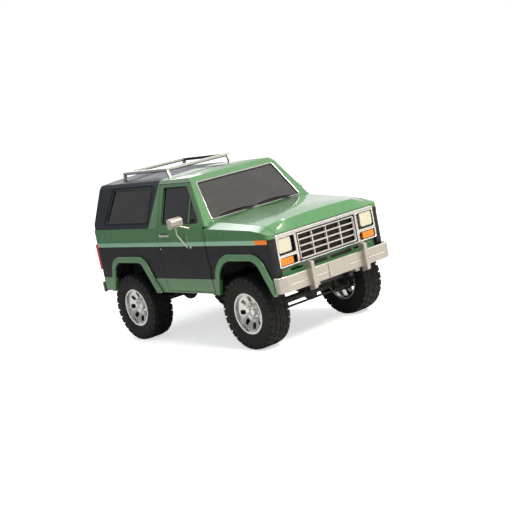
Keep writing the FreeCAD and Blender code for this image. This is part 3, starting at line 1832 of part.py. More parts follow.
def spring_towers():
    """The brackets on the rails that take the coils' upper ends."""
    pieces = []
    for side in (-1, 1):
        inner = side * (s.rail_y + s.rail_width / 2)
        outer = side * (s.coil_y + s.coil_radius)
        low, high = sorted((inner, outer))
        near, far = XF - s.coil_radius, XF + s.coil_radius + 2 * s.wall
        pieces.append(
            block(f"tower_{side + 1}", (near, low, s.coil_top_z), (far, high, s.coil_top_z + s.skin))
        )
    return pieces


def leaf_spring(name, side):
    """A bowed pack of leaves, thickest over the axle."""
    y = side * s.leaf_y
    low, eye = AXLE_Z + s.axle_tube + s.glass, s.rail_low_z
    pack = s.leaf_pack
    front, rear = XR + s.leaf_reach, XR - s.leaf_reach
    loop = [
        (rear, eye),
        (rear, eye - s.grille_bar),
        (XR - s.wall, low, 0),
        (XR + s.wall, low),
        (front, eye - s.grille_bar),
        (front, eye),
        (XR + s.wall, low + pack),
        (XR - s.wall, low + pack),
    ]
    return slab(name, "XZ", [loop], y - s.leaf_width / 2, y + s.leaf_width / 2)


def shock(name, low, high):
    """A shock absorber between two points: the tube below, its rod above."""
    low, high = Vector(*low), Vector(*high)
    middle = low + (high - low) * SHOCK_SHARE
    pieces = [rod(name + "_tube", low, middle, s.skin), rod(name + "_rod", middle, high, s.grille_bar)]
    return joined(name, pieces)


SHOCK_SHARE = 0.55


def shock_absorbers(bodies):
    """Four shock absorbers, from the axles to the coils' brackets and the rear rails."""
    pieces = []
    for side in (-1, 1):
        foot = XF + s.coil_radius + s.skin + s.glass
        low = (foot, side * s.coil_y, AXLE_Z)
        high = (foot + s.wall, side * s.coil_y, s.coil_top_z + s.glass)
        pieces.append(cut(f"front_shock_{side + 1}", shock(f"front_damper_{side + 1}", low, high), *bodies))
        y = side * (s.rail_y + s.rail_width / 2 + s.grille_bar - s.glass)
        low = (XR - s.axle_tube, y, AXLE_Z)
        high = (XR - s.rear_diff_radius, y, s.rail_low_z + s.rail_width)
        pieces.append(cut(f"rear_shock_{side + 1}", shock(f"rear_damper_{side + 1}", low, high), *bodies))
    four = doc.addObject("Part::Compound", "shock_absorbers")
    four.Links = pieces
    return four


# drive line, tank and exhaust


def powertrain(frame):
    """Engine as one plain block, gearbox and transfer case behind it."""
    rear, front = XF - s.engine_back, XF - s.engine_back + s.engine_length
    low = s.rail_low_z + s.wall
    engine = block("engine_block", (rear, -s.engine_half, low), (front, s.engine_half, low + s.engine_height))
    inner = s.rail_y - s.rail_width / 2
    middle = (rear + front) / 2
    mounts = block("engine_mounts", (middle - s.wall, -inner, low), (middle + s.wall, inner, low + s.wall))
    gearbox = block(
        "gearbox",
        (GEARBOX_REAR, -s.engine_half / 2, low),
        (rear, s.engine_half / 2, low + s.engine_half - s.wall),
    )
    return cut("powertrain", joined("powertrain_whole", [engine, mounts, gearbox]), frame)


GEARBOX_REAR = XR + s.wheelbase / 2


def drive_shafts(bodies):
    """Propeller shafts from the gearbox to both axles."""
    z = s.rail_low_z + s.wall + s.axle_tube + s.glass
    rear = rod("rear_shaft", (GEARBOX_REAR + s.wall, 0, z), (XR + s.rear_diff_radius, 0, AXLE_Z), s.skin)
    y = s.engine_half / 2
    start = (GEARBOX_REAR + 3 * s.wall, y + s.skin, z - s.wall)
    front = rod("front_shaft", start, (XF - s.front_diff_radius, s.front_diff_y, AXLE_Z), s.skin)
    return cut("drive_shafts", joined("shafts", [rear, front]), *bodies)


def fuel_tank():
    """Tank between the rails behind the rear axle."""
    inner = s.rail_y - s.rail_width / 2 - s.panel_gap
    rear = XR - s.member_reach - s.wall - s.panel_gap
    front = XR - s.rear_diff_radius - s.panel_gap
    low = s.floor_z - s.tank_depth
    loop = [
        (rear + s.wall + s.panel_gap + s.wall * 2, low, s.skin),
        (front, low, s.skin),
        (front, s.floor_z, s.glass),
        (rear + s.wall + s.panel_gap + s.wall * 2, s.floor_z, s.glass),
    ]
    return slab("fuel_tank", "XZ", [loop], -inner / 3, inner)


def exhaust():
    """Pipe with a silencer, hung from the crossmembers."""
    y, z, radius = -s.exhaust_y, s.rail_low_z - s.wall, s.skin
    front, rear = XF - s.engine_back + 3 * s.wall, XR - s.member_reach - s.wall * 2
    middle = DOOR_REAR - s.wall
    pieces = [
        rod("pipe", (rear, y, z), (front, y, z), radius),
        rod("silencer", (middle, y, z), (middle + s.silencer_length, y, z), radius * 3),
        rod("downpipe", (front, y, z), (front, y, s.rail_low_z + s.wall), radius),
        ball("elbow", (front, y, z), radius),
    ]
    for i, x in enumerate(CROSSMEMBERS[:2]):
        pieces.append(rod(f"pipe_hanger_{i}", (x, y, z), (x, y, s.rail_low_z), s.glass))
    return joined("exhaust", pieces)


# inside the cabin


def dashboard():
    """Dashboard across the firewall, rolled towards the seats."""
    rear, top = FENDER_REAR - s.dash_depth, s.shoulder_z - s.skin
    loop = [
        (FENDER_REAR, top - s.dash_height),
        (FENDER_REAR, top),
        (rear + s.wall, top, s.skin),
        (rear, top - s.dash_height / 3, s.skin),
        (rear + s.wall, top - s.dash_height, s.skin),
    ]
    half = s.floor_half - s.wall
    return slab("dashboard", "XZ", [loop], -half, half)


def seat_loop(rear, cushion, back):
    """A seat in side view: cushion and reclined back."""
    top = s.floor_z + s.floor_thickness
    front = rear + cushion
    return [
        (rear, top),
        (front, top),
        (front, top + s.seat_height, s.wall),
        (rear + s.seat_back, top + s.seat_height - s.skin, s.wall),
        (rear, top + back, s.wall),
        (rear - s.seat_back, top + back, s.wall),
    ]


def seats():
    """Two front seats and a rear bench between the wheelhouses."""
    pieces = []
    for side in (-1, 1):
        low, high = sorted((side * (s.tunnel_half + s.wall), side * (s.floor_half - 3 * s.wall)))
        pieces.append(
            slab(
                f"front_seat_{side + 1}",
                "XZ",
                [seat_loop(SEAT_REAR, s.seat_cushion, s.seat_back_height)],
                low,
                high,
            ),
        )
    half = s.rear_liner_half - s.wall
    rear = DOOR_REAR - s.bench_back
    pieces.append(
        slab(
            "bench",
            "XZ",
            [seat_loop(rear, s.seat_cushion, s.seat_back_height * BENCH_BACK_SHARE)],
            -half,
            half,
        )
    )
    compound = doc.addObject("Part::Compound", "seats")
    compound.Links = pieces
    return compound


SEAT_REAR = DOOR_REAR + s.seat_back + s.wall


def column_ends():
    """The steering column's lower end in the dashboard and upper end at the wheel."""
    x, z = FENDER_REAR - s.dash_depth, s.shoulder_z - s.dash_height
    return (x, s.driver_y, z), (x - s.column_run, s.driver_y, z + s.column_rise)


def column(dash):
    """The fixed steering column."""
    low, high = (Vector(*end) for end in column_ends())
    start = low - (high - low) * 0.4
    return cut("steering_column", rod("column_rod", start, high, s.skin), dash)


def steering_wheel():
    """Ring, three spokes and boss, facing the driver."""
    low, high = (Vector(*end) for end in column_ends())
    run = (high - low).normalize()
    turn = Rotation(Vector(0, 0, 1), run)
    ring = doc.addObject("Part::Torus", "wheel_ring")
    bind(put(ring, high + run * (s.skin + s.hinge_play), turn), Radius1=s.wheel_ring, Radius2=s.grille_bar)
    centre = high + run * s.hinge_play
    boss = rod("wheel_boss", centre, centre + run * (2 * s.skin), s.wall)
    side = Vector(0, 1, 0)
    down = run.cross(side)
    hub = high + run * (s.skin + s.hinge_play)
    pieces = [ring, boss]
    for i, way in enumerate((side, -side, down)):
        pieces.append(rod(f"wheel_spoke_{i}", hub, hub + way * s.wheel_ring, s.panel_gap))
    return joined("steering_wheel", pieces)


# mirrors and wipers


def mirror():
    """The right door's mirror: a chrome head on two bent arms."""
    head_loop = [
        (MIRROR_X, s.mirror_low_z, s.skin),
        (MIRROR_X + s.mirror_depth, s.mirror_low_z + s.skin, s.wall),
        (MIRROR_X + s.mirror_depth, s.mirror_low_z + s.mirror_height - s.skin, s.wall),
        (MIRROR_X, s.mirror_low_z + s.mirror_height, s.skin),
    ]
    inner = s.crease_half + s.skin
    head = slab("mirror_head", "XZ", [head_loop], -(inner + s.mirror_width), -inner)
    middle = (
        MIRROR_X + s.mirror_depth / 2,
        -(inner + s.mirror_width / 2),
        s.mirror_low_z + s.mirror_depth / 2,
    )
    foot_z = s.mirror_low_z - s.mirror_drop
    feet = (
        (
            MIRROR_X + s.mirror_depth * MIRROR_FOOT_SHARE,
            -(side_half(s.mirror_low_z - s.skin) - s.glass),
            s.mirror_low_z - s.skin,
        ),
        (MIRROR_X + s.mirror_depth / 2, -(side_half(foot_z) - s.glass), foot_z),
    )
    elbow = (MIRROR_X - s.skin, -(inner + s.wall), s.mirror_low_z - s.mirror_drop / 3)
    pieces = [
        head,
        rod("mirror_arm_0", feet[0], middle, s.mirror_arm),
        rod("mirror_arm_1", feet[1], elbow, s.mirror_arm),
        ball("mirror_elbow", elbow, s.mirror_arm),
        rod("mirror_arm_2", elbow, middle, s.mirror_arm),
    ]
    return joined("mirror_whole", pieces)


MIRROR_X = DOOR_FRONT - s.mirror_back


def wipers():
    """Two arms with blades, parked along the windscreen's lower edge."""
    rise = Vector(SCREEN_TOP - SCREEN_LOW, 0, s.screen_top_z - s.screen_base_z).normalize()
    normal = Vector(rise.z, 0, -rise.x)
    base = Vector(SCREEN_LOW, 0, s.screen_base_z) - rise * s.skin
    pieces = []
    for i, y in enumerate((s.wiper_outer_y, s.wiper_inner_y)):
        pivot = base + Vector(0, y, 0)
        top = pivot + normal * s.grille_bar
        hold = top + rise * s.wiper_lift + Vector(0, -s.wiper_arm_reach, 0)
        half_blade = Vector(0, s.wiper_blade / 2, 0) - rise * s.grille_bar
        pieces += [
            rod(f"wiper_pivot_{i}", pivot, top + normal * s.glass, s.grille_bar),
            rod(f"wiper_arm_{i}", top, hold, s.wiper_arm),
            rod(f"wiper_blade_{i}", hold - half_blade, hold + half_blade, s.glass),
        ]
    return joined("wipers", pieces)


# assembly


def mirrored_node(name, piece):
    """A right-hand piece and its left-hand image as two nodes."""
    node(name + "_right", piece)
    node(name + "_left", mirrored(name + "_image", piece))


def assemble():
    """Builds every piece, seating each against those that carry it."""
    side, lamp = body_side()
    shell = node("body_shell", joined("shell", [side, mirrored("side_left", side)]))
    node("tail_lamps", both_sides("lamps", lamp))
    top, foot = cab_top()
    node("cab_top", top)
    hard = node("hardtop", hardtop())
    node("windscreen", windscreen_slab("screen_glass", 0, -2 * s.glass, -s.glass))
    pane_right = pane("top_pane", side_window(), s.window_recess + s.glass)
    node("side_glass", both_sides("top_panes", pane_right))
    node("rear_glass", rear_window("rear_pane", s.window_recess, s.window_recess + s.glass))
    node("roof_rack", roof_rack(hard))

    mirrored_node("door", door())
    mirrored_node("door_glass", door_glass())
    wing = fender(foot)
    mirrored_node("fender", wing)
    node("hood", bonnet())
    node("tailgate", tailgate())
    node("cowl", cowl(wing))

    node("grille_panel", grille_panel())
    node("grille_bars", grille())
    back = NOSE - s.panel_depth + s.skin
    lamp_right = lamp_face(
        "headlamp",
        -s.lamp_y,
        s.lamp_z,
        s.lamp_width,
        s.lamp_height,
        back,
        NOSE - s.glass,
        s.skin,
    )
    node("headlamps", both_sides("headlamp_pair", lamp_right))
    signal = lamp_face(
        "signal",
        -s.lamp_y,
        s.signal_z,
        s.lamp_width,
        s.signal_height,
        back,
        NOSE - s.glass,
        s.grille_bar,
    )
    marker = side_wall(
        "marker",
        s.crease_z + s.glass,
        s.stripe_z,
        s.marker_rear + XF,
        s.marker_rear + XF + s.marker_length,
        -s.glass,
        0,
    )
    node("marker_lamps", both_sides("markers", joined("marker_right", [signal, marker])))
    node("front_valance", valance())
    node("front_bumper", front_bumper())
    node("rear_bumper", rear_bumper())

    houses = []
    for name, axle, front, inner in (
        ("rear_house", XR, False, s.rear_liner_half),
        ("front_house", XF, True, s.front_liner_half),
    ):
        right = wheelhouse(name, axle, front, inner, wing if front else shell)
        houses.append([right, mirrored(name + "_left", right)])
    node("inner_panels", joined("houses", houses[0] + houses[1]))
    node("floor_pan", floor_pan(shell))
    node("radiator", radiator())

    frame = node("frame_rails", joined("frame", [frame_rails(), *spring_towers()]))
    front = node("front_axle", front_axle(frame))
    rear = node("rear_axle", rear_axle())
    for name, way in (("left", 1), ("right", -1)):
        node(f"knuckle_{name}", knuckle(f"knuckle_{name}", way))
    node("tie_rod", tie_rod())
    rubber = tyre()
    for corner, x, way in (
        ("front_left", XF, 1),
        ("front_right", XF, -1),
        ("rear_left", XR, 1),
        ("rear_right", XR, -1),
    ):
        wheel(corner, x, way, rubber)
    node("coil_springs", joined("coils", [coil("coil_left", 1), coil("coil_right", -1)]))
    leaves = joined("leaves", [leaf_spring("leaf_left", 1), leaf_spring("leaf_right", -1)])
    node("leaf_springs", leaves)
    node("shock_absorbers", shock_absorbers([front, rear, frame]))
    drive = node("powertrain", powertrain(frame))
    node("drive_shafts", drive_shafts([drive, front, rear]))
    node("fuel_tank", fuel_tank())
    node("exhaust", exhaust())

    dash = node("dashboard", dashboard())
    node("steering_column", column(dash))
    node("steering_wheel", steering_wheel())
    node("seats", seats())
    mirror_right = cut(
        "mirror_fit",
        mirror(),
        side_wall("mirror_skin", s.rocker_z, s.rail_z, DOOR_REAR, DOOR_FRONT),
    )
    mirrored_node("mirror", mirror_right)
    node("wipers", wipers())


def check():
    """Stops the script when an object failed or a piece is not a sound solid."""
    doc.recompute()
    broken = [o.Name for o in doc.Objects if {"Invalid", "Error"} & set(o.State)]
    if broken:
        raise SystemExit("failed objects: " + ", ".join(broken))
    for piece in NODES:
        shape = piece.Shape
        if shape.isNull() or not shape.isValid() or not shape.Solids:
            raise SystemExit("not a sound solid: " + piece.Label)


def write():
    """Writes each piece to its own file."""
    os.makedirs("parts", exist_ok=True)
    for piece in NODES:
        piece.Shape.exportStep(f"parts/{piece.Label}.step")


assemble()
check()
write()
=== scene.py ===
import json
import math

import bmesh
import bpy
from mathutils import Matrix, Vector
from mathutils.bvhtree import BVHTree


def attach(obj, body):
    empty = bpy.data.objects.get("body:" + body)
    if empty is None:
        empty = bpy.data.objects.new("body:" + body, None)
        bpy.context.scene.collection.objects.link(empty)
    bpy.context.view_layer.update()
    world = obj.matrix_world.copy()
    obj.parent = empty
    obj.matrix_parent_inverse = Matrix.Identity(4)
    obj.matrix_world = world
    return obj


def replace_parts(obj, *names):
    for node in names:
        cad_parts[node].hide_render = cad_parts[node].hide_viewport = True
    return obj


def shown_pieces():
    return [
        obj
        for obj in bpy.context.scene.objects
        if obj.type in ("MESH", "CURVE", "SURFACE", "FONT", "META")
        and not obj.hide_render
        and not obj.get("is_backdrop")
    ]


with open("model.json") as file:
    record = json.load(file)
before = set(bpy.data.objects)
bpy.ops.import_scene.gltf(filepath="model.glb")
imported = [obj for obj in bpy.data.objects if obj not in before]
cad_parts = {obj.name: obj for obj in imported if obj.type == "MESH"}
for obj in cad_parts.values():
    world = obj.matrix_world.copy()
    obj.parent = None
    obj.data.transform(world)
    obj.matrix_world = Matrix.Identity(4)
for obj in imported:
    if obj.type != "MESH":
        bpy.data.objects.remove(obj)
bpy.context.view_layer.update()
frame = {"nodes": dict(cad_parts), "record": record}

nodes = frame["nodes"]
bodyOf = {node: body for body, names in frame["record"]["behaviour"]["bodies"].items() for node in names}
slotOf = {row["node"]: row["material_slot"] for row in frame["record"]["subparts"]}
print("frame loaded")


# shader maths

class Value:
    # a node socket that can be used in plain Python sums

    def __init__(self, finish, socket):
        self.finish = finish
        self.socket = socket

    def sum(self, operation, other=None, swapped=False, clamp=False):
        pair = [self] if other is None else [self, other]
        if swapped:
            pair.reverse()
        return self.finish.node(
            "ShaderNodeMath", {"operation": operation, "use_clamp": clamp}, dict(enumerate(pair)),
        )

    def __add__(self, other):
        return self.sum("ADD", other)

    __radd__ = __add__

    def __sub__(self, other):
        return self.sum("SUBTRACT", other)

    def __rsub__(self, other):
        return self.sum("SUBTRACT", other, swapped=True)

    def __mul__(self, other):
        return self.sum("MULTIPLY", other)

    __rmul__ = __mul__

    def __gt__(self, other):
        return self.sum("GREATER_THAN", other)

    def __lt__(self, other):
        return self.sum("LESS_THAN", other)

    def size(self):
        return self.sum("ABSOLUTE")

    def power(self, other):
        return self.sum("POWER", other)

    def least(self, other):
        return self.sum("MINIMUM", other)

    def most(self, other):
        return self.sum("MAXIMUM", other)

    def clamped(self):
        return self.sum("ADD", 0.0, clamp=True)


finishes = {}


class Finish:
    # one material with a Principled shader, kept under its name

    def __init__(self, name, **sockets):
        finishes[name] = bpy.data.materials.new(name)
        finishes[name].use_nodes = True
        self.tree = finishes[name].node_tree
        self.shader = next(made for made in self.tree.nodes if made.type == "BSDF_PRINCIPLED")
        self.coords = self.tree.nodes.new("ShaderNodeTexCoord").outputs["Object"]
        for key, value in sockets.items():
            self.set(key, value)

    def node(self, kind, settings=None, inputs=None, output=0):
        made = self.tree.nodes.new(kind)
        for key, value in (settings or {}).items():
            setattr(made, key, value)
        for key, value in (inputs or {}).items():
            self.plug(made.inputs[key], value)
        return Value(self, made.outputs[output])

    def plug(self, socket, value):
        if isinstance(value, Value):
            self.tree.links.new(value.socket, socket)
        elif isinstance(value, bpy.types.NodeSocket):
            self.tree.links.new(value, socket)
        elif socket.type == "RGBA" and len(value) == 3:
            socket.default_value = (*value, 1.0)
        else:
            socket.default_value = value

    def set(self, key, value):
        names = {
            "colour": "Base Color", "rough": "Roughness", "metal": "Metallic", "coat": "Coat Weight",
            "coatRough": "Coat Roughness", "sheen": "Sheen Weight", "gloss": "Specular IOR Level",
            "glow": "Emission Color", "glowPower": "Emission Strength", "alpha": "Alpha",
            "normal": "Normal",
        }
        self.plug(self.shader.inputs[names[key]], value)

    def axes(self):
        cut = self.tree.nodes.new("ShaderNodeSeparateXYZ")
        self.tree.links.new(self.coords, cut.inputs[0])
        return [Value(self, out) for out in cut.outputs]

    def noise(self, scale, detail=4.0, rough=0.5, stretch=None):
        place = self.coords
        if stretch:
            place = self.node("ShaderNodeMapping", None, {"Vector": self.coords, "Scale": stretch})
        return self.node(
            "ShaderNodeTexNoise", None,
            {"Vector": place, "Scale": scale, "Detail": detail, "Roughness": rough},
        )

    def cells(self, scale):
        return self.node("ShaderNodeTexVoronoi", None, {"Vector": self.coords, "Scale": scale})

    def ramp(self, value, low, high, start=0.0, end=1.0):
        return self.node(
            "ShaderNodeMapRange", {"interpolation_type": "SMOOTHSTEP"},
            {"Value": value, "From Min": low, "From Max": high, "To Min": start, "To Max": end},
        )

    def mix(self, factor, first, second):
        return self.node("ShaderNodeMix", {"data_type": "RGBA"}, {0: factor, 6: first, 7: second}, 2)

    def bump(self, height, strength, distance):
        made = self.node(
            "ShaderNodeBump", None, {"Height": height, "Strength": strength, "Distance": distance},
        )
        self.set("normal", made)


paints = {
    "green": (0.07, 0.205, 0.078), "greenDeep": (0.05, 0.16, 0.058), "stripe": (0.27, 0.48, 0.345),
    "band": (0.0095, 0.01, 0.0125), "trim": (0.05, 0.052, 0.05), "dust": (0.2, 0.17, 0.12),
    "bandLow": 0.928, "bandHigh": 1.384, "stripeHigh": 1.446, "stripeFront": 1.68, "pin": 0.006,
    "sideInner": 0.93, "sideOuter": 0.983, "under": (0.008, 0.008, 0.009), "underInner": 0.953,
    "lipFront": 1.0, "overlap": 0.001, "dustFull": 0.55, "dustGone": 1.1,
}

# where the lining starts: door edge, roof crown, tail and windscreen, each as a place and a slope
lining = {
    "edge": 0.925, "edgeFoot": 1.64, "edgeLean": 0.362, "edgeMost": 0.932, "crown": 2.276, "camber": 0.083,
    "tail": -1.985, "screen": 0.61, "screenFoot": 1.696, "screenLean": 0.698, "rough": 0.35,
}


def dusty(finish, colour, amount):
    # road dust that fades out with height
    height = finish.axes()[2]
    low = finish.ramp(height, paints["dustFull"], paints["dustGone"], 1.0, 0.0)
    patchy = finish.ramp(finish.noise(7.0, 6.0, 0.62), 0.42, 0.78)
    return finish.mix(low * patchy * amount, colour, paints["dust"]), low * patchy


def greenPaint(name, banded, lined=False, lip=False):
    # green gloss, with the black band and pale stripe outside and, where a panel has them, near-black painted
    # shade on the inner faces of the arches and panel gaps (partly a real dark undercoat in the arches) and a
    # dark trim lining inside the cab
    finish = Finish(name, coatRough=0.05, gloss=0.22 if banded else 0.4)
    x, y, z = finish.axes()
    side = y.size()
    tone = finish.mix(finish.noise(2.2, 2.0, 0.5), paints["green"], paints["greenDeep"])
    matt = 0.0
    if banded:
        # inner faces low down and below the stripe go near-black: painted shade in the arches and gaps,
        # partly a real dark undercoat in the arches
        shadedInside = (side < paints["underInner"]) * (z < paints["bandLow"])
        shadedInside = (shadedInside + (side < paints["sideInner"]) * (z < paints["stripeHigh"])).least(1.0)
        outside = (side > paints["sideInner"]) * (side < paints["sideOuter"])
        if lip:
            outside = outside.most((side < paints["sideOuter"]) * (x > paints["lipFront"]))
        behind, below = x < paints["stripeFront"], z < paints["stripeHigh"]
        black = (z > paints["bandLow"]) * (z < paints["bandHigh"])
        front = (z > paints["bandHigh"] - paints["overlap"]) * below * (x > paints["stripeFront"])
        stripe = (z > paints["bandHigh"]) * below * behind
        # a darker green line along the stripe's top edge
        pin = ((z - paints["stripeHigh"]).size() < paints["pin"]) * behind
        tone = finish.mix(stripe * outside, tone, paints["stripe"])
        tone = finish.mix((pin * 0.75) * outside, tone, paints["greenDeep"])
        matt = (black + front).least(1.0) * outside
        tone = finish.mix(matt, tone, paints["band"])
        tone = finish.mix(shadedInside * (1.0 - matt), tone, paints["under"])
        matt = (matt + shadedInside).least(1.0)
    rough = finish.ramp(finish.noise(5.0, 3.0), 0.3, 0.7, 0.26, 0.36)
    if lined:
        edge = (lining["edge"] - (z - lining["edgeFoot"]) * lining["edgeLean"]).least(lining["edgeMost"])
        crown = lining["crown"] - y * y * lining["camber"]
        screenLine = lining["screen"] - (z - lining["screenFoot"]) * lining["screenLean"]
        inner = (side < edge) * (z < crown) * (x > lining["tail"]) * (x < screenLine)
        tone = finish.mix(inner, tone, paints["trim"])
        rough = rough + inner * lining["rough"]
    tone, dirt = dusty(finish, tone, 0.22)
    finish.set("colour", tone)
    finish.set("rough", (rough + dirt * 0.25 + matt * 0.2).clamped())
    finish.set("coat", 0.95 - matt * 0.85 if banded else 0.95)


def moulded(name, colour, rough, grain, strength, coat=0.0, worn=0.12, gloss=0.4):
    # grained plastic, vinyl or hardtop shell
    finish = Finish(name, coat=coat, coatRough=0.2, gloss=gloss)
    blotch = finish.noise(4.0, 5.0, 0.6)
    pale = tuple(min(1.0, part * 1.7 + 0.02) for part in colour)
    finish.set("colour", finish.mix(finish.ramp(blotch, 0.45, 0.8) * worn, colour, pale))
    finish.set("rough", finish.ramp(blotch, 0.3, 0.8, rough, rough + 0.12))
    finish.bump(finish.cells(grain), strength, 0.0006)


def metalFinish(name, colour, rough, brushed=(1.0, 1.0, 1.0), spread=0.1, dirt=0.15, metal=1.0):
    # bright or brushed metal, dulled by grime
    finish = Finish(name, metal=metal)
    streak = finish.noise(60.0, 5.0, 0.65, stretch=brushed)
    cloud = finish.noise(6.0, 5.0, 0.6)
    grime = finish.ramp(cloud, 0.5, 0.85) * dirt
    dark = tuple(part * 0.45 for part in colour)
    finish.set("colour", finish.mix(grime, colour, dark))
    finish.set("rough", (finish.ramp(streak, 0.3, 0.7, rough, rough + spread) + grime * 0.5).clamped())


def castFinish(name, colour, rust=(0.16, 0.07, 0.03), amount=0.25, rough=0.65):
    # rough dark metal with spots of rust
    finish = Finish(name, metal=0.55)
    spots = finish.ramp(finish.noise(14.0, 8.0, 0.66), 0.5, 0.72)
    finish.set("colour", finish.mix(spots * amount, colour, rust))
    finish.set("rough", finish.ramp(spots, 0.0, 1.0, rough, 0.92))
    finish.bump(finish.noise(160.0, 4.0), 0.3, 0.0015)


def rubberFinish(name):
    # black tyre rubber, greyed in patches
    finish = Finish(name, gloss=0.2)
    tone = finish.mix(finish.noise(9.0, 5.0, 0.6), (0.006, 0.006, 0.007), (0.011, 0.0108, 0.0105))
    grey = finish.ramp(finish.noise(22.0, 6.0, 0.65), 0.55, 0.85) * 0.1
    finish.set("colour", finish.mix(grey, tone, (0.07, 0.055, 0.045)))
    finish.set("rough", finish.ramp(grey, 0.0, 0.2, 0.58, 0.8))
    finish.bump(finish.noise(420.0, 3.0), 0.2, 0.0008)


def glassFinish(name, tint, alpha, rough=0.04, gloss=0.7):
    # smoked glass, with a faint film of dust in patches
    finish = Finish(name, gloss=gloss, coat=0.2, coatRough=0.02)
    film = finish.ramp(finish.noise(5.0, 6.0, 0.6), 0.45, 0.85)
    finish.set("colour", finish.mix(film * 0.25, tint, tuple(part + 0.06 for part in tint)))
    finish.set("rough", finish.ramp(film, 0.0, 1.0, rough, rough + 0.07))
    finish.set("alpha", finish.ramp(film, 0.0, 1.0, alpha, min(1.0, alpha + 0.05)))


def lensFinish(name, colour, ribs, glow, axis=1):
    # moulded lens with fine ribs and a faint painted glow, though the lamp is not lit
    finish = Finish(name, coat=0.35, coatRough=0.05, gloss=0.35)
    across = finish.axes()[axis]
    wave = (across * (2 * math.pi / ribs)).sum("SINE")
    deep = tuple(part * 0.55 for part in colour)
    finish.set("colour", finish.mix(finish.ramp(wave, -1.0, 1.0) * 0.55, colour, deep))
    finish.set("rough", finish.ramp(finish.noise(30.0), 0.3, 0.7, 0.12, 0.2))
    # painted glow: the lens gives off a little of its own colour with no lamp behind it
    finish.set("glow", (*colour, 1.0))
    finish.set("glowPower", glow)
    finish.bump(wave, 0.5, 0.0012)


def clothFinish(name, colour, thread=0.0022):
    # a fine weave, paler where it is worn
    finish = Finish(name, sheen=0.3)
    x, y, z = finish.axes()
    turn = 2 * math.pi / thread
    weave = (x * turn).sum("SINE") * (y * turn).sum("SINE") + ((z + x * 0.3) * turn).sum("SINE") * 0.5
    pale = tuple(part * 2.1 for part in colour)
    shade = finish.ramp(finish.noise(18.0, 4.0), 0.3, 0.8) * 0.4 + finish.ramp(weave, -1.0, 1.0) * 0.3
    finish.set("colour", finish.mix(shade, colour, pale))
    finish.set("rough", finish.ramp(weave, -1.0, 1.0, 0.82, 0.95))
    finish.bump(weave, 0.35, 0.0006)


def nosePanel(name, depth, colour=(0.6, 0.585, 0.58)):
    # bright metal on the face, and near-black painted shade in the recesses round the lamps and in the grille
    # opening
    finish = Finish(name, coat=0.2)
    x, y, z = finish.axes()
    side = y.size()
    lampBox = (side > nose["boxInner"]) * (side < nose["boxOuter"])
    lampBox = lampBox * (z < nose["boxHigh"]) * (z > nose["boxLow"])
    divider = (z > nose["dividerLow"]) * (z < nose["dividerHigh"])
    ring = (side < nose["ringHalf"]) * (z > nose["ringLow"]) * (z < nose["ringHigh"])
    # everything off the face takes the near-black painted shade
    face = (x > depth) * (1.0 - lampBox * (1.0 - divider)) * (1.0 - ring)
    finish.set("colour", finish.mix(face, (0.012, 0.012, 0.013), colour))
    finish.set("metal", face * 0.85)
    finish.set("rough", finish.ramp(finish.noise(30.0, 3.0, 0.6), 0.3, 0.7, 0.24, 0.32))


nose = {
    "x": 1.948, "boxInner": 0.556, "boxOuter": 0.85, "boxLow": 1.066, "boxHigh": 1.428, "dividerLow": 1.176,
    "dividerHigh": 1.206, "ringHalf": 0.524, "ringLow": 1.062, "ringHigh": 1.434, "frameHalf": 0.496,
    "frameLow": 1.088, "frameHigh": 1.408, "frameRadius": 0.009, "bar": 0.017, "barCount": 3,
    "wireStep": 0.0125, "panelHalf": 0.869, "panelLow": 1.05, "panelHigh": 1.478, "lampY": 0.728,
    "lampZ": 1.326, "lampHalf": (0.1025, 0.086), "panelInset": 0.008, "panelRadius": 0.03,
    "panelProud": 0.0005, "ringGap": 0.003, "ringDeep": 0.012, "ring": 0.0045, "boxProud": 0.001,
    "boxRadius": 0.016, "boxEdge": 0.0035,
}

greenPaint("bodyGreen", False)
greenPaint("bandedGreen", True, lined=True)
greenPaint("wingGreen", True, lip=True)
greenPaint("cabGreen", False, lined=True)
moulded("topBlack", (0.017, 0.023, 0.031), 0.5, 520.0, 0.06, gloss=0.2)
moulded("chassisBlack", (0.016, 0.016, 0.017), 0.45, 240.0, 0.2)
metalFinish("chromePlate", (0.6, 0.59, 0.58), 0.13, spread=0.05, dirt=0.2)
metalFinish("mirrorChrome", (0.56, 0.53, 0.51), 0.3, spread=0.05, dirt=0.1, metal=0.6)
metalFinish("rackSilver", (0.6, 0.59, 0.58), 0.3, spread=0.08, dirt=0.15, metal=0.7)
metalFinish("brightTrim", (0.86, 0.85, 0.84), 0.2, spread=0.05, dirt=0.08)
metalFinish("bumperMetal", (0.42, 0.39, 0.37), 0.3, (0.3, 0.05, 1.0), 0.05, dirt=0.15, metal=0.65)
metalFinish("rimSteel", (0.66, 0.66, 0.66), 0.14, spread=0.06, dirt=0.12)
rubberFinish("tyreRubber")
glassFinish("screenGlass", (0.035, 0.034, 0.036), 0.86)
glassFinish("sideGlass", (0.009, 0.0105, 0.0135), 0.92, gloss=0.45)
lensFinish("headLens", (0.56, 0.54, 0.45), 0.012, 0.02)
lensFinish("amberLens", (0.88, 0.2, 0.006), 0.008, 0.1)
lensFinish("redLens", (0.62, 0.02, 0.018), 0.01, 0.08, axis=2)
nosePanel("grilleFace", 1.93)
metalFinish("barMetal", (0.6, 0.57, 0.58), 0.3, spread=0.06, dirt=0.15, metal=0.7)
moulded("meshBlack", (0.035, 0.028, 0.025), 0.6, 900.0, 0.05, worn=0.3)
castFinish("castIron", (0.05, 0.05, 0.052))
castFinish("springSteel", (0.03, 0.03, 0.032), amount=0.12, rough=0.5)
castFinish("exhaustSteel", (0.2, 0.18, 0.16), amount=0.5)
moulded("cabinVinyl", (0.028, 0.028, 0.03), 0.5, 700.0, 0.35)
moulded("rubberSeal", (0.012, 0.012, 0.012), 0.55, 300.0, 0.1)
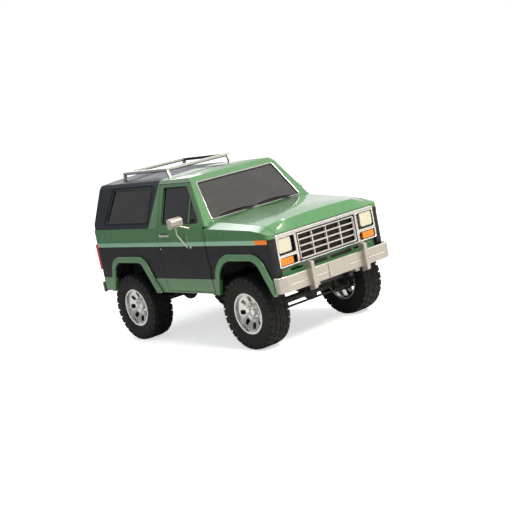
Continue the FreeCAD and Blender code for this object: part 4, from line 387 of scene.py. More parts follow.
clothFinish("seatCloth", (0.045, 0.045, 0.05))
moulded("blackPaint", (0.014, 0.014, 0.015), 0.35, 600.0, 0.06, coat=0.2)
metalFinish("mirrorFace", (0.8, 0.82, 0.84), 0.03, spread=0.02, dirt=0.05)
print("finishes made", len(finishes))


# meshes and trees

# the slot of each finish, where a piece doesn't name another
slotFor = {
    "chromePlate": "chrome", "mirrorChrome": "chrome", "rackSilver": "chrome", "brightTrim": "chrome",
    "barMetal": "chrome", "mirrorFace": "chrome", "blackPaint": "black_paint", "meshBlack": "black_paint",
    "rubberSeal": "cabin_plastic", "cabinVinyl": "cabin_plastic", "redLens": "red_lens",
    "headLens": "lamp_lens", "tyreRubber": "tyre_rubber", "seatCloth": "seat_cloth",
}
doubles = 2e-5


def placed(name, mesh, material, body="chassis", slot=None):
    # the finished mesh as a piece of its own on a body
    slot = slot or slotFor[material]
    piece = bpy.data.objects.new(name, mesh)
    bpy.context.scene.collection.objects.link(piece)
    mesh.materials.clear()
    mesh.materials.append(finishes[material])
    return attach(piece, body)


def plain(name, mesh):
    # a helper object that is gone again once its result is taken
    helper = bpy.data.objects.new(name, mesh)
    bpy.context.scene.collection.objects.link(helper)
    return helper


def evaluated(helper, name):
    # modifiers turned into a plain mesh
    bpy.context.view_layer.update()
    graph = bpy.context.evaluated_depsgraph_get()
    mesh = bpy.data.meshes.new_from_object(
        helper.evaluated_get(graph), preserve_all_data_layers=True, depsgraph=graph,
    )
    mesh.name = name
    bpy.data.objects.remove(helper)
    return mesh


def smooth(mesh, angle=35.0):
    mesh.shade_smooth()
    mesh.set_sharp_from_angle(angle=math.radians(angle))
    return mesh


def meshOf(name, points, faces=(), edges=()):
    mesh = bpy.data.meshes.new(name)
    mesh.from_pydata([tuple(point) for point in points], edges, faces)
    mesh.update()
    return mesh


def taken(work, name):
    # the plain mesh of a bmesh that isn't needed any longer
    mesh = bpy.data.meshes.new(name)
    work.to_mesh(mesh)
    work.free()
    return mesh


def outward(mesh):
    # faces turned to point out
    work = bmesh.new()
    work.from_mesh(mesh)
    bmesh.ops.recalc_face_normals(work, faces=work.faces)
    work.to_mesh(mesh)
    work.free()
    return mesh


def merged(meshes, name):
    # several meshes in one, with their doubles merged
    work = bmesh.new()
    for mesh in meshes:
        work.from_mesh(mesh)
    bmesh.ops.remove_doubles(work, verts=work.verts, dist=doubles)
    return taken(work, name)


def bevelled(name, mesh, width, angle, segments=2):
    # rounded edges with even shading on the flats
    helper = plain(name + "Work", mesh)
    bevel = helper.modifiers.new("edge", "BEVEL")
    bevel.width = width
    bevel.segments = segments
    bevel.limit_method = "ANGLE"
    bevel.angle_limit = math.radians(angle)
    bevel.use_clamp_overlap = True
    bevel.miter_outer = "MITER_ARC"
    mesh.shade_smooth()
    even = helper.modifiers.new("even", "WEIGHTED_NORMAL")
    even.keep_sharp = True
    even.mode = "FACE_AREA_WITH_ANGLE"
    even.weight = 70
    return evaluated(helper, name)


def dressed(name, nodeName, material, width, angle=32.0):
    # a CAD node's shape with its edges rounded and its own finish
    source = nodes[nodeName].data.copy()
    for layer in [layer for layer in source.attributes if layer.name == "custom_normal"]:
        source.attributes.remove(layer)
    work = bmesh.new()
    work.from_mesh(source)
    bmesh.ops.remove_doubles(work, verts=work.verts, dist=doubles)
    bmesh.ops.dissolve_degenerate(work, dist=1e-5, edges=work.edges)
    clean = taken(work, name)
    result = bevelled(name, clean, width, angle) if width else smooth(clean)
    piece = placed(name, result, material, bodyOf[nodeName], slotOf[nodeName])
    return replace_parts(piece, nodeName)


class Tree:
    # a Geometry Nodes tree that takes a mesh, a material and some values

    def __init__(self, name, **inputs):
        self.group = bpy.data.node_groups.new(name, "GeometryNodeTree")
        socket = self.group.interface.new_socket
        for way in ("INPUT", "OUTPUT"):
            socket("Geometry", in_out=way, socket_type="NodeSocketGeometry")
        for label, kind in {**inputs, "Material": "Material"}.items():
            socket(label, in_out="INPUT", socket_type="NodeSocket" + kind)
        self.given = self.group.nodes.new("NodeGroupInput")
        self.out = self.group.nodes.new("NodeGroupOutput")

    def __getitem__(self, label):
        return self.given.outputs[label]

    def node(self, kind, inputs, output=0, **settings):
        made = self.group.nodes.new(kind)
        for key, value in settings.items():
            setattr(made, key, value)
        for key, value in inputs.items():
            if isinstance(value, bpy.types.NodeSocket):
                self.group.links.new(value, made.inputs[key])
            else:
                made.inputs[key].default_value = value
        return made.outputs[output]

    def copies(self, offset, rotation=(0.0, 0.0, 0.0)):
        # the piece put on each point of a line
        dots = self.node("GeometryNodeMeshLine", {"Count": self["Count"], "Offset": offset})
        shape = self.node("GeometryNodeObjectInfo", {"Object": self["Piece"]}, "Geometry")
        inputs = {"Points": dots, "Instance": shape, "Rotation": rotation}
        return self.node("GeometryNodeInstanceOnPoints", inputs)

    def ended(self, geometry):
        # every tree ends in real geometry with its material set
        real = self.node("GeometryNodeRealizeInstances", {"Geometry": geometry})
        done = self.node("GeometryNodeSetMaterial", {"Geometry": real, "Material": self["Material"]})
        self.group.links.new(done, self.out.inputs[0])
        return self.group


def beadTree():
    # a round bead along the edges of a path
    made = Tree("beadAlongPath", Radius="Float", Sides="Int")
    curve = made.node("GeometryNodeMeshToCurve", {"Mesh": made["Geometry"]})
    circle = made.node(
        "GeometryNodeCurvePrimitiveCircle", {"Resolution": made["Sides"], "Radius": made["Radius"]},
    )
    inputs = {"Curve": curve, "Profile Curve": circle, "Fill Caps": True}
    return made.ended(made.node("GeometryNodeCurveToMesh", inputs))


def ringTree():
    # one shape repeated round the Y axis
    made = Tree("ringOfPieces", Count="Int", Phase="Float", Piece="Object")
    index = made.node("GeometryNodeInputIndex", {})
    step = made.node("ShaderNodeMath", {0: 2 * math.pi, 1: made["Count"]}, operation="DIVIDE")
    angle = made.node("ShaderNodeMath", {0: index, 1: step, 2: made["Phase"]}, operation="MULTIPLY_ADD")
    turn = made.node("ShaderNodeCombineXYZ", {"Y": angle})
    return made.ended(made.copies((0.0, 0.0, 0.0), turn))


def rowTree():
    # one shape repeated along a line
    made = Tree("rowOfPieces", Count="Int", Offset="Vector", Piece="Object")
    return made.ended(made.copies(made["Offset"]))


trees = {"bead": beadTree(), "ring": ringTree(), "row": rowTree()}


def grown(name, treeName, base, values, place=None):
    # runs a tree on a helper and gives back the plain mesh
    helper = plain(name + "Work", base)
    step = helper.modifiers.new("grow", "NODES")
    step.node_group = trees[treeName]
    for item in trees[treeName].interface.items_tree:
        if item.in_out == "INPUT" and item.name in values:
            step[item.identifier] = values[item.name]
    mesh = evaluated(helper, name)
    if place:
        mesh.transform(place)
    return mesh


def repeated(name, treeName, shape, values, place=None):
    # a tree that repeats a small mesh
    stamp = plain(name + "Stamp", shape)
    mesh = grown(name, treeName, meshOf(name + "Seed", [(0, 0, 0)]), {**values, "Piece": stamp}, place)
    bpy.data.objects.remove(stamp)
    return mesh


def bead(name, points, radius, material, sides, closed=True):
    count = len(points)
    edges = [(i, (i + 1) % count) for i in range(count if closed else count - 1)]
    mesh = grown(
        name, "bead", meshOf(name + "Path", points, edges=edges),
        {"Radius": radius, "Sides": sides, "Material": finishes[material]},
    )
    return smooth(mesh, 50.0)


def roundedLoop(corners, radius, steps=6):
    # a flat loop with its corners turned on arcs
    out = []
    count = len(corners)
    for i, corner in enumerate(corners):
        here, before, after = Vector(corner), Vector(corners[i - 1]), Vector(corners[(i + 1) % count])
        back, on = (before - here).normalized(), (after - here).normalized()
        half = back.angle(on) / 2
        reach = radius / math.tan(half)
        centre = here + (back + on).normalized() * (radius / math.sin(half))
        start, end = here + back * reach - centre, here + on * reach - centre
        for j in range(steps + 1):
            part = j / steps
            spoke = start.lerp(end, part).normalized() * radius
            out.append(centre + spoke)
    return out


def boxMesh(name, low, high):
    work = bmesh.new()
    bmesh.ops.create_cube(work, size=1.0)
    low, high = Vector(low), Vector(high)
    for vertex in work.verts:
        vertex.co = (low + high) / 2 + Vector(a * b for a, b in zip(vertex.co, high - low))
    return taken(work, name)


def roundRod(name, start, end, radius, sides, tip=None):
    # a closed round bar, drawn in at its far end where a tip radius is given
    start, end = Vector(start), Vector(end)
    work = bmesh.new()
    bmesh.ops.create_cone(
        work, cap_ends=True, segments=sides, radius1=radius, radius2=radius if tip is None else tip,
        depth=(end - start).length,
    )
    turn = Vector((0, 0, 1)).rotation_difference(end - start).to_matrix().to_4x4()
    bmesh.ops.transform(work, matrix=Matrix.Translation((start + end) / 2) @ turn, verts=work.verts)
    return taken(work, name)


def eased(name, mesh, width, segments=2):
    # a small fitting with its edges taken off
    return bevelled(name, mesh, width, 30.0, segments)


def block(name, low, high, width, segments=2):
    # a box with its edges taken off
    return eased(name, boxMesh(name, low, high), width, segments)


def beaded(name, points, radius, material, body="chassis", closed=True, sides=12):
    return placed(name, bead(name, points, radius, material, sides, closed), material, body)


def rowOf(name, shape, count, step, start, material):
    # copies of a mesh in a row, one step apart
    values = {"Count": count, "Offset": step, "Material": finishes[material]}
    return repeated(name, "row", shape, values, Matrix.Translation(start))


handSides = (("Right", -1), ("Left", 1))
sideTable = ((0.725, 0.958), (0.848, 0.971), (1.384, 0.98), (1.446, 0.98), (1.64, 0.962), (2.22, 0.752))


def sideHalf(z):
    # half the body's width at a height
    for (z0, y0), (z1, y1) in zip(sideTable, sideTable[1:]):
        if z <= z1:
            return y0 + (y1 - y0) * (z - z0) / (z1 - z0)
    return sideTable[-1][1]


def onSide(loop, proud, sign):
    # a loop in side view laid on the body's side
    return [Vector((x, sign * (sideHalf(z) + proud), z)) for x, z in loop]


def sideBox(sign, place, spans):
    # a box on one side of the car, its three spans measured from a place
    (x, y, z), ((x0, x1), (y0, y1), (z0, z1)) = place, spans
    near, far = sorted((sign * (y + y0), sign * (y + y1)))
    return boxMesh("sideBox", (x + x0, near, z + z0), (x + x1, far, z + z1))


def stud(sign, x, z, near, far, radius, edges=28):
    # a short round rod that stands out from the body's side
    start, end = (onSide([(x, z)], reach, sign)[0] for reach in (near, far))
    return roundRod("stud", start, end, radius, edges)


screen = {"low": (0.665, 1.696, 0.80), "high": (0.32, 2.19, 0.68)}


def screenAxes():
    # the windscreen's foot, the way up it, the way out of it and its length
    (xLow, zLow, _), (xHigh, zHigh, _) = screen["low"], screen["high"]
    run = Vector((xHigh - xLow, 0, zHigh - zLow))
    rise = run.normalized()
    return Vector((xLow, 0, zLow)), rise, Vector((rise.z, 0, -rise.x)), run.length


# body panels

panels = {
    "body_shell": ("bandedGreen", 0.005), "fender_left": ("wingGreen", 0.006),
    "fender_right": ("wingGreen", 0.006), "door_left": ("bandedGreen", 0.004),
    "door_right": ("bandedGreen", 0.004), "hood": ("bodyGreen", 0.006), "cab_top": ("cabGreen", 0.006),
    "cowl": ("wingGreen", 0.002), "tailgate": ("bodyGreen", 0.005), "front_valance": ("bodyGreen", 0.004),
    "hardtop": ("topBlack", 0.006), "grille_panel": ("grilleFace", 0.004),
    "front_bumper": ("bumperMetal", 0.005), "rear_bumper": ("bumperMetal", 0.005),
    "inner_panels": ("chassisBlack", 0.002), "floor_pan": ("chassisBlack", 0.002),
    "radiator": ("chassisBlack", 0.002), "frame_rails": ("chassisBlack", 0.006),
    "front_axle": ("castIron", 0.005), "rear_axle": ("castIron", 0.005),
    "knuckle_left": ("castIron", 0.003), "knuckle_right": ("castIron", 0.003),
    "tie_rod": ("springSteel", 0.002), "coil_springs": ("springSteel", 0.003),
    "leaf_springs": ("springSteel", 0.002), "powertrain": ("castIron", 0.008),
    "drive_shafts": ("springSteel", 0.002), "fuel_tank": ("chassisBlack", 0.01),
    "exhaust": ("exhaustSteel", 0.003), "dashboard": ("cabinVinyl", 0.01),
    "steering_column": ("cabinVinyl", 0.003), "steering_wheel": ("cabinVinyl", 0.0),
    "mirror_left": ("mirrorChrome", 0.012), "mirror_right": ("mirrorChrome", 0.012),
    "shock_absorbers": ("springSteel", 0.0), "wipers": ("blackPaint", 0.001),
    "windscreen": ("screenGlass", 0.0), "side_glass": ("sideGlass", 0.0), "rear_glass": ("sideGlass", 0.0),
    "door_glass_left": ("sideGlass", 0.0), "door_glass_right": ("sideGlass", 0.0),
    "tail_lamps": ("redLens", 0.004), "marker_lamps": ("amberLens", 0.004),
    "headlamps": ("headLens", 0.012),
}


def panelName(node):
    # snake to camel
    first, *rest = node.split("_")
    return first + "".join(word.capitalize() for word in rest)


for node, (material, width) in panels.items():
    dressed(panelName(node), node, material, width)
print("panels dressed", len(panels))


# wheels

# the tyre's wall is given as (in from the half width, out from the bead), a lug as (share of its
# reach, across)
wheel = {
    "x": 1.28, "y": 0.845, "z": 0.484, "outer": 0.484, "half": 0.1625, "bead": 0.262, "steps": 112,
    "sharp": 28.0, "lugs": 28, "cover": 0.84, "drop": 0.011, "dropFrom": 0.11, "dropRun": 0.05,
    "root": 0.004, "lugEdge": 0.003, "taper": 0.94, "nuts": 5, "nutTurn": 0.2, "nutRing": 0.0625,
    "nutSpan": (0.018, 0.043), "nutRadius": 0.0105, "nutTip": 0.0084, "rimEdge": 0.003, "rimAngle": 30.0,
    "crown": [
        (0.0, 0.4745), (0.06, 0.474), (0.1, 0.472), (0.125, 0.468), (0.138, 0.461), (0.149, 0.447),
        (0.156, 0.428), (0.16, 0.405), (0.162, 0.38), (0.1623, 0.36),
    ],
    "wall": [
        (0.031, 0.0005), (0.022, 0.004), (0.014, 0.012), (0.0095, 0.026), (0.0075, 0.03), (0.006, 0.055),
        (0.003, 0.078), (0.0015, 0.08), (0.0012, 0.088),
    ],
    "centreLug": [(-1, -0.012), (-1, 0.02), (0, 0.012), (1, 0.02), (1, -0.012), (0, -0.02)],
    "shoulderLug": [(-1, 0.092), (-0.93, 0.1605), (0.93, 0.1605), (1, 0.092), (0, 0.104)],
    "middleLug": [(-1, 0.031), (-1, 0.092), (0, 0.08), (1, 0.092), (1, 0.031), (0, 0.023)],
}


def onRing(radius, y, angle):
    # a point on a circle round the axle
    return (radius * math.sin(angle), y, radius * math.cos(angle))


def lathe(name, profile, steps):
    # a closed profile of (side, radius) turned round the Y axis
    count = len(profile)
    points = [onRing(radius, y, 2 * math.pi * i / steps) for i in range(steps) for y, radius in profile]
    faces = []
    for i in range(steps):
        here, there = i * count, (i + 1) % steps * count
        for j in range(count):
            k = (j + 1) % count
            faces.append((here + j, here + k, there + k, there + j))
    return outward(meshOf(name, points, faces))


def carcassRadius(y):
    # the carcass's outer radius at a distance from the wheel's middle
    for (y0, r0), (y1, r1) in zip(wheel["crown"], wheel["crown"][1:]):
        if abs(y) <= y1:
            return r0 + (r1 - r0) * (abs(y) - y0) / (y1 - y0)
    return wheel["crown"][-1][1]


def lug(name, outline):
    # a tread block: an outline in (round, across) raised from the carcass to the tread
    count, high = len(outline), wheel["outer"]
    midT, midY = (sum(column) / count for column in zip(*outline))
    points = []
    for level, share in enumerate((1.0, 1.0, wheel["taper"])):
        for t, y in outline:
            t, y = midT + (t - midT) * share, midY + (y - midY) * share
            drop = wheel["drop"] * max(0.0, (abs(y) - wheel["dropFrom"]) / wheel["dropRun"]) ** 2
            radius = high - drop - (wheel["lugEdge"] if level == 1 else 0.0)
            points.append(onRing(radius if level else carcassRadius(y) - wheel["root"], y, t / high))
    faces = []
    for ring in (0, count):
        for i in range(count):
            k = (i + 1) % count
            faces.append((ring + i, ring + k, ring + count + k, ring + count + i))
    faces.append(tuple(range(count - 1, -1, -1)))
    faces.append(tuple(range(2 * count, 3 * count)))
    return outward(meshOf(name, points, faces))


def tyreMesh():
    # a carcass with rings of tread blocks grown from it
    wall = [(wheel["half"] - inset, wheel["bead"] + rise) for inset, rise in wheel["wall"]]
    right = wall + wheel["crown"][::-1]
    profile = right + [(-y, radius) for y, radius in right[::-1] if y > 0.0]
    parts = [smooth(lathe("carcass", profile, wheel["steps"]), wheel["sharp"])]
    step = 2 * math.pi / wheel["lugs"]
    reach = wheel["cover"] * step * wheel["outer"] / 2
    rings = [("centreLug", 1, step / 4)]
    for side, phase in ((-1, step / 2), (1, 0.0)):
        rings += [("shoulderLug", side, phase), ("middleLug", side, phase + step / 2)]
    for i, (kind, side, phase) in enumerate(rings):
        shape = lug(kind, [(share * reach, side * y) for share, y in wheel[kind]])
        values = {"Count": wheel["lugs"], "Phase": phase, "Material": finishes["tyreRubber"]}
        parts.append(repeated(f"lugRing{i}", "ring", shape, values))
    return smooth(merged(parts, "tyre"), wheel["sharp"])


def wheelPlace(front, left):
    # a corner's wheel, turned so that its dished side points out
    turn = Matrix.Rotation(0.0 if left else math.pi, 4, "Z")
    x = wheel["x"] if front else -wheel["x"]
    y = wheel["y"] if left else -wheel["y"]
    return Matrix.Translation((x, y, wheel["z"])) @ turn


tyre = tyreMesh()
start, end = ((0, y, wheel["nutRing"]) for y in wheel["nutSpan"])
nut = roundRod("nut", start, end, wheel["nutRadius"], 6, wheel["nutTip"])
values = {"Count": wheel["nuts"], "Phase": wheel["nutTurn"], "Material": finishes["chromePlate"]}
nuts = repeated("nutRing", "ring", nut, values)
for corner in ("front_left", "front_right", "rear_left", "rear_right"):
    body, place = "wheel_" + corner, wheelPlace(corner.startswith("front"), corner.endswith("left"))
    rubber, studs = tyre.copy(), nuts.copy()
    rubber.transform(place)
    studs.transform(place)
    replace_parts(placed(panelName("tyre_" + corner), rubber, "tyreRubber", body), "tyre_" + corner)
    dressed(panelName("rim_" + corner), "rim_" + corner, "rimSteel", wheel["rimEdge"], wheel["rimAngle"])
    placed(panelName("wheel_nuts_" + corner), studs, "chromePlate", body, "rim_metal")
print("wheels made")


# nose, bumpers and small fittings

grille = {
    "near": 0.046, "face": 0.008, "levelBack": 0.004, "barEdge": 0.004, "inner": 0.016, "sides": 14,
    "sharp": 40.0, "back": 0.02, "thick": 0.003, "half": 0.505, "low": 1.078, "high": 1.418,
    "plateEdge": 0.001, "wire": 0.0017, "wireLift": 0.002, "wireDeep": 0.0035,
}


def frameLoop(half, low, high, x, radius=0.02, centre=0.0):
    # a rounded rectangle across the car at one station
    left, right = centre - half, centre + half
    loop = roundedLoop([(0, left, low), (0, right, low), (0, right, high), (0, left, high)], radius)
    return [Vector((x, point.y, point.z)) for point in loop]


def grilleBars(near, face):
    # bars with rounded edges inside a double frame
    low, high, half = nose["frameLow"], nose["frameHigh"], nose["frameHalf"]
    count, bar = nose["barCount"], nose["bar"] / 2
    across, upward = 2 * half / (count + 1), (high - low) / (count + 1)
    upright = block("uprightBar", (near, -bar, low), (face, bar, high), grille["barEdge"], 3)
    level = block(
        "levelBar", (near, -half, -bar), (face - grille["levelBack"], half, bar), grille["barEdge"], 3,
    )
    parts = [
        rowOf("uprights", upright, count, (0, across, 0), (0, across - half, 0), "barMetal"),
        rowOf("levels", level, count, (0, 0, upward), (0, 0, low + upward), "barMetal"),
    ]
    for x in (face, face - grille["inner"]):
        loop = frameLoop(half, low, high, x)
        parts.append(bead("grilleFrame", loop, nose["frameRadius"], "barMetal", sides=grille["sides"]))
    bars = smooth(merged(parts, "grilleBars"), grille["sharp"])
    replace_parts(placed("grilleBars", bars, "barMetal", slot="grille_metal"), "grille_bars")


def grilleNet(back):
    # a dark plate behind the grille as painted shade, with a net of fine wires before it
    half, low, high, wire = grille["half"], grille["low"], grille["high"], grille["wire"]
    plate = block(
        "grilleScreen", (back - grille["thick"], -half, low), (back, half, high), grille["plateEdge"],
    )
    placed("grilleScreen", plate, "blackPaint")
    step, front, deep = nose["wireStep"], back + grille["wireLift"], grille["wireDeep"]
    level = boxMesh("levelWire", (front, -half, -wire), (front + deep, half, wire))
    upright = boxMesh("uprightWire", (back, -wire, low), (back + deep, wire, high))
    rows, columns = int((high - low) / step) - 1, int(2 * half / step) - 1
    net = merged([
        rowOf("levelWires", level, rows, (0, 0, step), (0, 0, low + step), "barMetal"),
        rowOf("uprightWires", upright, columns, (0, step, 0), (0, step - half, 0), "barMetal"),
    ], "grilleWires")
    placed("grilleWires", net, "meshBlack")


grilleNear = nose["x"] - grille["near"]
grilleBars(grilleNear, nose["x"] - grille["face"])
grilleNet(grilleNear - grille["back"])
inset = nose["panelInset"]
panelLoop = frameLoop(
    nose["panelHalf"] - inset, nose["panelLow"] + inset, nose["panelHigh"] - inset,
    nose["x"] + nose["panelProud"],
    nose["panelRadius"],
)
beaded("panelFrame", panelLoop, inset, "brightTrim")
for side, sign in handSides:
    width, height = (half + nose["ringGap"] for half in nose["lampHalf"])
    low, high, x = nose["lampZ"] - height, nose["lampZ"] + height, nose["x"] - nose["ringDeep"]
    ring = frameLoop(width, low, high, x, nose["panelRadius"], sign * nose["lampY"])
    beaded("lampRing" + side, ring, nose["ring"], "barMetal")
    middle = sign * (nose["boxInner"] + nose["boxOuter"]) / 2
    half = (nose["boxOuter"] - nose["boxInner"]) / 2
    boxes = (("Upper", nose["dividerHigh"], nose["boxHigh"]), ("Lower", nose["boxLow"], nose["dividerLow"]))
    for label, low, high in boxes:
        edge = frameLoop(half, low, high, nose["x"] + nose["boxProud"], nose["boxRadius"], middle)
        beaded("lampBox" + label + side, edge, nose["boxEdge"], "brightTrim")

vent = {
    "inner": 0.03, "outer": 0.41, "low": 0.962, "high": 1.008, "x": 1.904, "deep": 0.004, "proud": 0.0012,
    "edge": 0.001, "fins": 3, "finInset": 0.004, "fin": 0.0015, "finProud": 0.005,
}
for side, sign in handSides:
    x, low, high, inset = vent["x"], vent["low"], vent["high"], vent["finInset"]
    inner, outer = sorted((sign * vent["inner"], sign * vent["outer"]))
    # the black plate behind the fins stands for the shade in the vent's slots: painted shade
    plate = block(
        "vent" + side, (x - vent["deep"], inner, low), (x + vent["proud"], outer, high), vent["edge"],
    )
    placed("valanceVent" + side, plate, "blackPaint")
    fin = boxMesh(
        "fin" + side, (x, inner + inset, -vent["fin"]), (x + vent["finProud"], outer - inset, vent["fin"]),
    )
    rise = (high - low) / (vent["fins"] + 1)
    fins = rowOf("ventFins" + side, fin, vent["fins"], (0, 0, rise), (0, 0, low + rise), "blackPaint")
    placed("ventFins" + side, fins, "blackPaint")

bumper = {
    "lineX": 2.049, "lineZ": 0.843, "line": 0.0075, "lines": [(0.19, 0.425), (0.53, 0.85)], "edge": 0.0075,
    "top": 0.952, "bend": [(1.925, 0.981), (1.99, 0.981), (2.012, 0.969), (2.032, 0.923), (2.042, 0.873)],
    "bolts": [(0.475, 0.72), (0.475, 1.035)], "boltSpan": (2.108, 2.1125), "bolt": 0.009, "boltEdge": 0.001,
}
# the beads on the top edge and the ridges are a brighter metal than the bumper: a painted highlight on real
# edges and ridges
edgePath = [(x, -y, bumper["top"]) for x, y in bumper["bend"]]
edgePath += [(x, -y, z) for x, y, z in edgePath[::-1]]
beaded("bumperEdge", edgePath, bumper["edge"], "brightTrim", closed=False)
for side, sign in handSides:
    for i, reach in enumerate(bumper["lines"]):
        path = [(bumper["lineX"], sign * y, bumper["lineZ"]) for y in reach]
        beaded(f"bumperLine{side}{i}", path, bumper["line"], "brightTrim", closed=False)
    for i, (y, z) in enumerate(bumper["bolts"]):
        start, end = ((x, sign * y, z) for x in bumper["boltSpan"])
        bolt = eased("bolt", roundRod("bolt", start, end, bumper["bolt"], 6), bumper["boltEdge"])
        placed(f"guardBolt{side}{i}", bolt, "chromePlate")

# boxes are (along, out of the side, up), from the handle's rear end
handle = {
    "x": -0.372, "z": 1.534, "edge": 0.0035, "recessEdge": 0.003, "button": (0.0, 0.014, 0.0105, 24),
    "buttonX": -0.35, "lockPlace": (-0.378, 1.347), "lock": (-0.003, 0.004, 0.0125), "lockEdge": 0.0015,
    "boxes": [
        ((0.0, 0.225), (-0.004, 0.005), (-0.019, 0.019)), ((0.045, 0.213), (0.012, 0.024), (-0.011, 0.011)),
        ((0.047, 0.065), (0.0, 0.018), (-0.008, 0.008)), ((0.193, 0.211), (0.0, 0.018), (-0.008, 0.008)),
    ],
    "recess": ((0.03, 0.215), (-0.004, 0.0065), (0.002, 0.026)),
}
for side, sign in handSides:
    door = "door_" + side.lower()
    place = (handle["x"], sideHalf(handle["z"]), handle["z"])
    parts = [sideBox(sign, place, spans) for spans in handle["boxes"]]
    parts.append(stud(sign, handle["buttonX"], handle["z"], *handle["button"]))
    made = merged([eased("part", mesh, handle["edge"], 3) for mesh in parts], "doorHandle" + side)
    placed("doorHandle" + side, made, "mirrorChrome", door)
    # a black plate in the handle's recess: painted shadow of the recess
    recess = eased("recess", sideBox(sign, place, handle["recess"]), handle["recessEdge"])
    placed("handleRecess" + side, recess, "blackPaint", door)
    lock = eased("lock", stud(sign, *handle["lockPlace"], *handle["lock"]), handle["lockEdge"])
    placed("doorLock" + side, lock, "chromePlate", door)

rack = {
    "rear": -1.54, "front": -0.44, "half": 0.575, "low": 2.37, "high": 2.41, "wide": 0.046,
    "barEdge": 0.009, "strip": 0.008, "inset": 0.004, "stripEdge": 0.001, "foot": 2.264, "lean": 0.038,
    "overlap": 0.01, "footEdge": 0.006,
}


def rackPieces():
    # a flat bar bent to a rectangle, with a dark strip below it as painted shadow, and a foot at each corner
    rear, front, half, wide, inset = (rack[key] for key in ("rear", "front", "half", "wide", "inset"))
    low, high, inner = rack["low"], rack["high"], half - wide
    bars, shadowStrips = [], []
    for x0, x1, y0, y1 in (
        (rear, front, -half, -inner), (rear, front, inner, half),
        (rear, rear + wide, -inner, inner), (front - wide, front, -inner, inner),
    ):
        bars.append(block("rackBar", (x0, y0, low), (x1, y1, high), rack["barEdge"], 4))
        start, end = (x0 + inset, y0 + inset, low - rack["strip"]), (x1 - inset, y1 - inset, low + inset)
        shadowStrips.append(block("rackStrip", start, end, rack["stripEdge"]))
    for x, way in ((front, 1), (rear, -1)):
        x0, x1 = sorted((x, x - way * wide))
        for side in (-1, 1):
            y0, y1 = sorted((side * inner, side * (half - inset)))
            foot = boxMesh("rackFoot", (x0, y0, rack["foot"]), (x1, y1, low + rack["overlap"]))
            for vertex in foot.vertices:
                if vertex.co.z < low:
                    vertex.co.x += way * rack["lean"]
            bars.append(eased("rackFoot", foot, rack["footEdge"], 3))
    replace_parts(placed("roofRack", merged(bars, "roofRack"), "rackSilver"), "roof_rack")
    placed("roofRackStrip", merged(shadowStrips, "roofRackStrip"), "blackPaint")


rackPieces()

lamp = {
    "rear": -2.037, "front": -1.987, "low": 1.048, "high": 1.43, "deep": -0.012, "proud": 0.005,
    "edge": 0.003,
}
back, front, low, high = (lamp[key] for key in ("rear", "front", "low", "high"))
outline = [(back, low), (front, low), (front, high), (back, high)]
wrapFaces = [(0, 1, 2, 3), (4, 5, 6, 7), (0, 1, 5, 4), (1, 2, 6, 5), (2, 3, 7, 6), (3, 0, 4, 7)]
for side, sign in handSides:
    points = onSide(outline, lamp["deep"], sign) + onSide(outline, lamp["proud"], sign)
    wrap = eased("tailWrap", outward(meshOf("tailWrap", points, wrapFaces)), lamp["edge"], 3)
    placed("tailLampSide" + side, wrap, "redLens")

stay = {"feet": [(0.33, 1.372), (0.345, 1.63)], "stud": (-0.002, 0.012, 0.017), "edge": 0.003}
for side, sign in handSides:
    pads = [eased("pad", stud(sign, x, z, *stay["stud"]), stay["edge"], 3) for x, z in stay["feet"]]
    placed("mirrorFeet" + side, merged(pads, "mirrorFeet"), "mirrorChrome", "door_" + side.lower())

gutter = {"line": [(-0.42, 2.214), (0.3, 2.214)], "proud": 0.001, "radius": 0.006}
for side, sign in handSides:
    path = onSide(gutter["line"], gutter["proud"], sign)
    beaded("dripRail" + side, path, gutter["radius"], "blackPaint", closed=False)


def span(nodeName, part=None):
    # a CAD node's corners, or those of the part of it that a test picks
    spots = [vertex.co for vertex in nodes[nodeName].data.vertices if part is None or part(vertex.co)]
    return [[pick(spot[i] for spot in spots) for i in range(3)] for pick in (min, max)]


# fittings of the tailgate are (half width, height, half height, how far proud), the lenses' insets
# (right, left)
rear = {
    "handle": (0.11, 1.44, 0.02, 0.016), "frame": (0.172, 1.13, 0.092, 0.002),
    "plate": (0.16, 1.13, 0.08, 0.004), "sunk": 0.008, "edge": 0.0018, "paneBorder": 0.034,
    "paneTop": 0.002, "paneOut": 0.001, "paneRadius": 0.03, "seal": 0.011, "lensTall": 0.045,
    "lensInsets": (0.012, 0.014), "lensProud": 0.004, "lensEdge": 0.0015, "mirrorFoot": 1.66,
    "mirrorInset": 0.014, "mirrorSpan": (-0.001, 0.003), "mirrorEdge": 0.0008,
}
backX = span("tailgate")[0][0]
for name, material in (("handle", "chromePlate"), ("frame", "blackPaint"), ("plate", "brightTrim")):
    half, z, tall, proud = rear[name]
    low, high = (backX - proud, -half, z - tall), (backX + rear["sunk"], half, z + tall)
    placed("tailgate" + name.capitalize(), block(name, low, high, rear["edge"], 3), material, "tailgate")

(glassX, _, glassLow), (_, glassHalf, glassHigh) = span("rear_glass")
highX = span("rear_glass", lambda spot: spot.z > glassHigh - rear["paneTop"])[0][0]
border = glassHalf - rear["paneBorder"]
corners = [
    (glassX, -glassHalf, glassLow), (glassX, glassHalf, glassLow), (highX, border, glassHigh),
    (highX, -border, glassHigh),
]
loop = [point - Vector((rear["paneOut"], 0, 0)) for point in roundedLoop(corners, rear["paneRadius"])]
beaded("rearSeal", loop, rear["seal"], "rubberSeal")

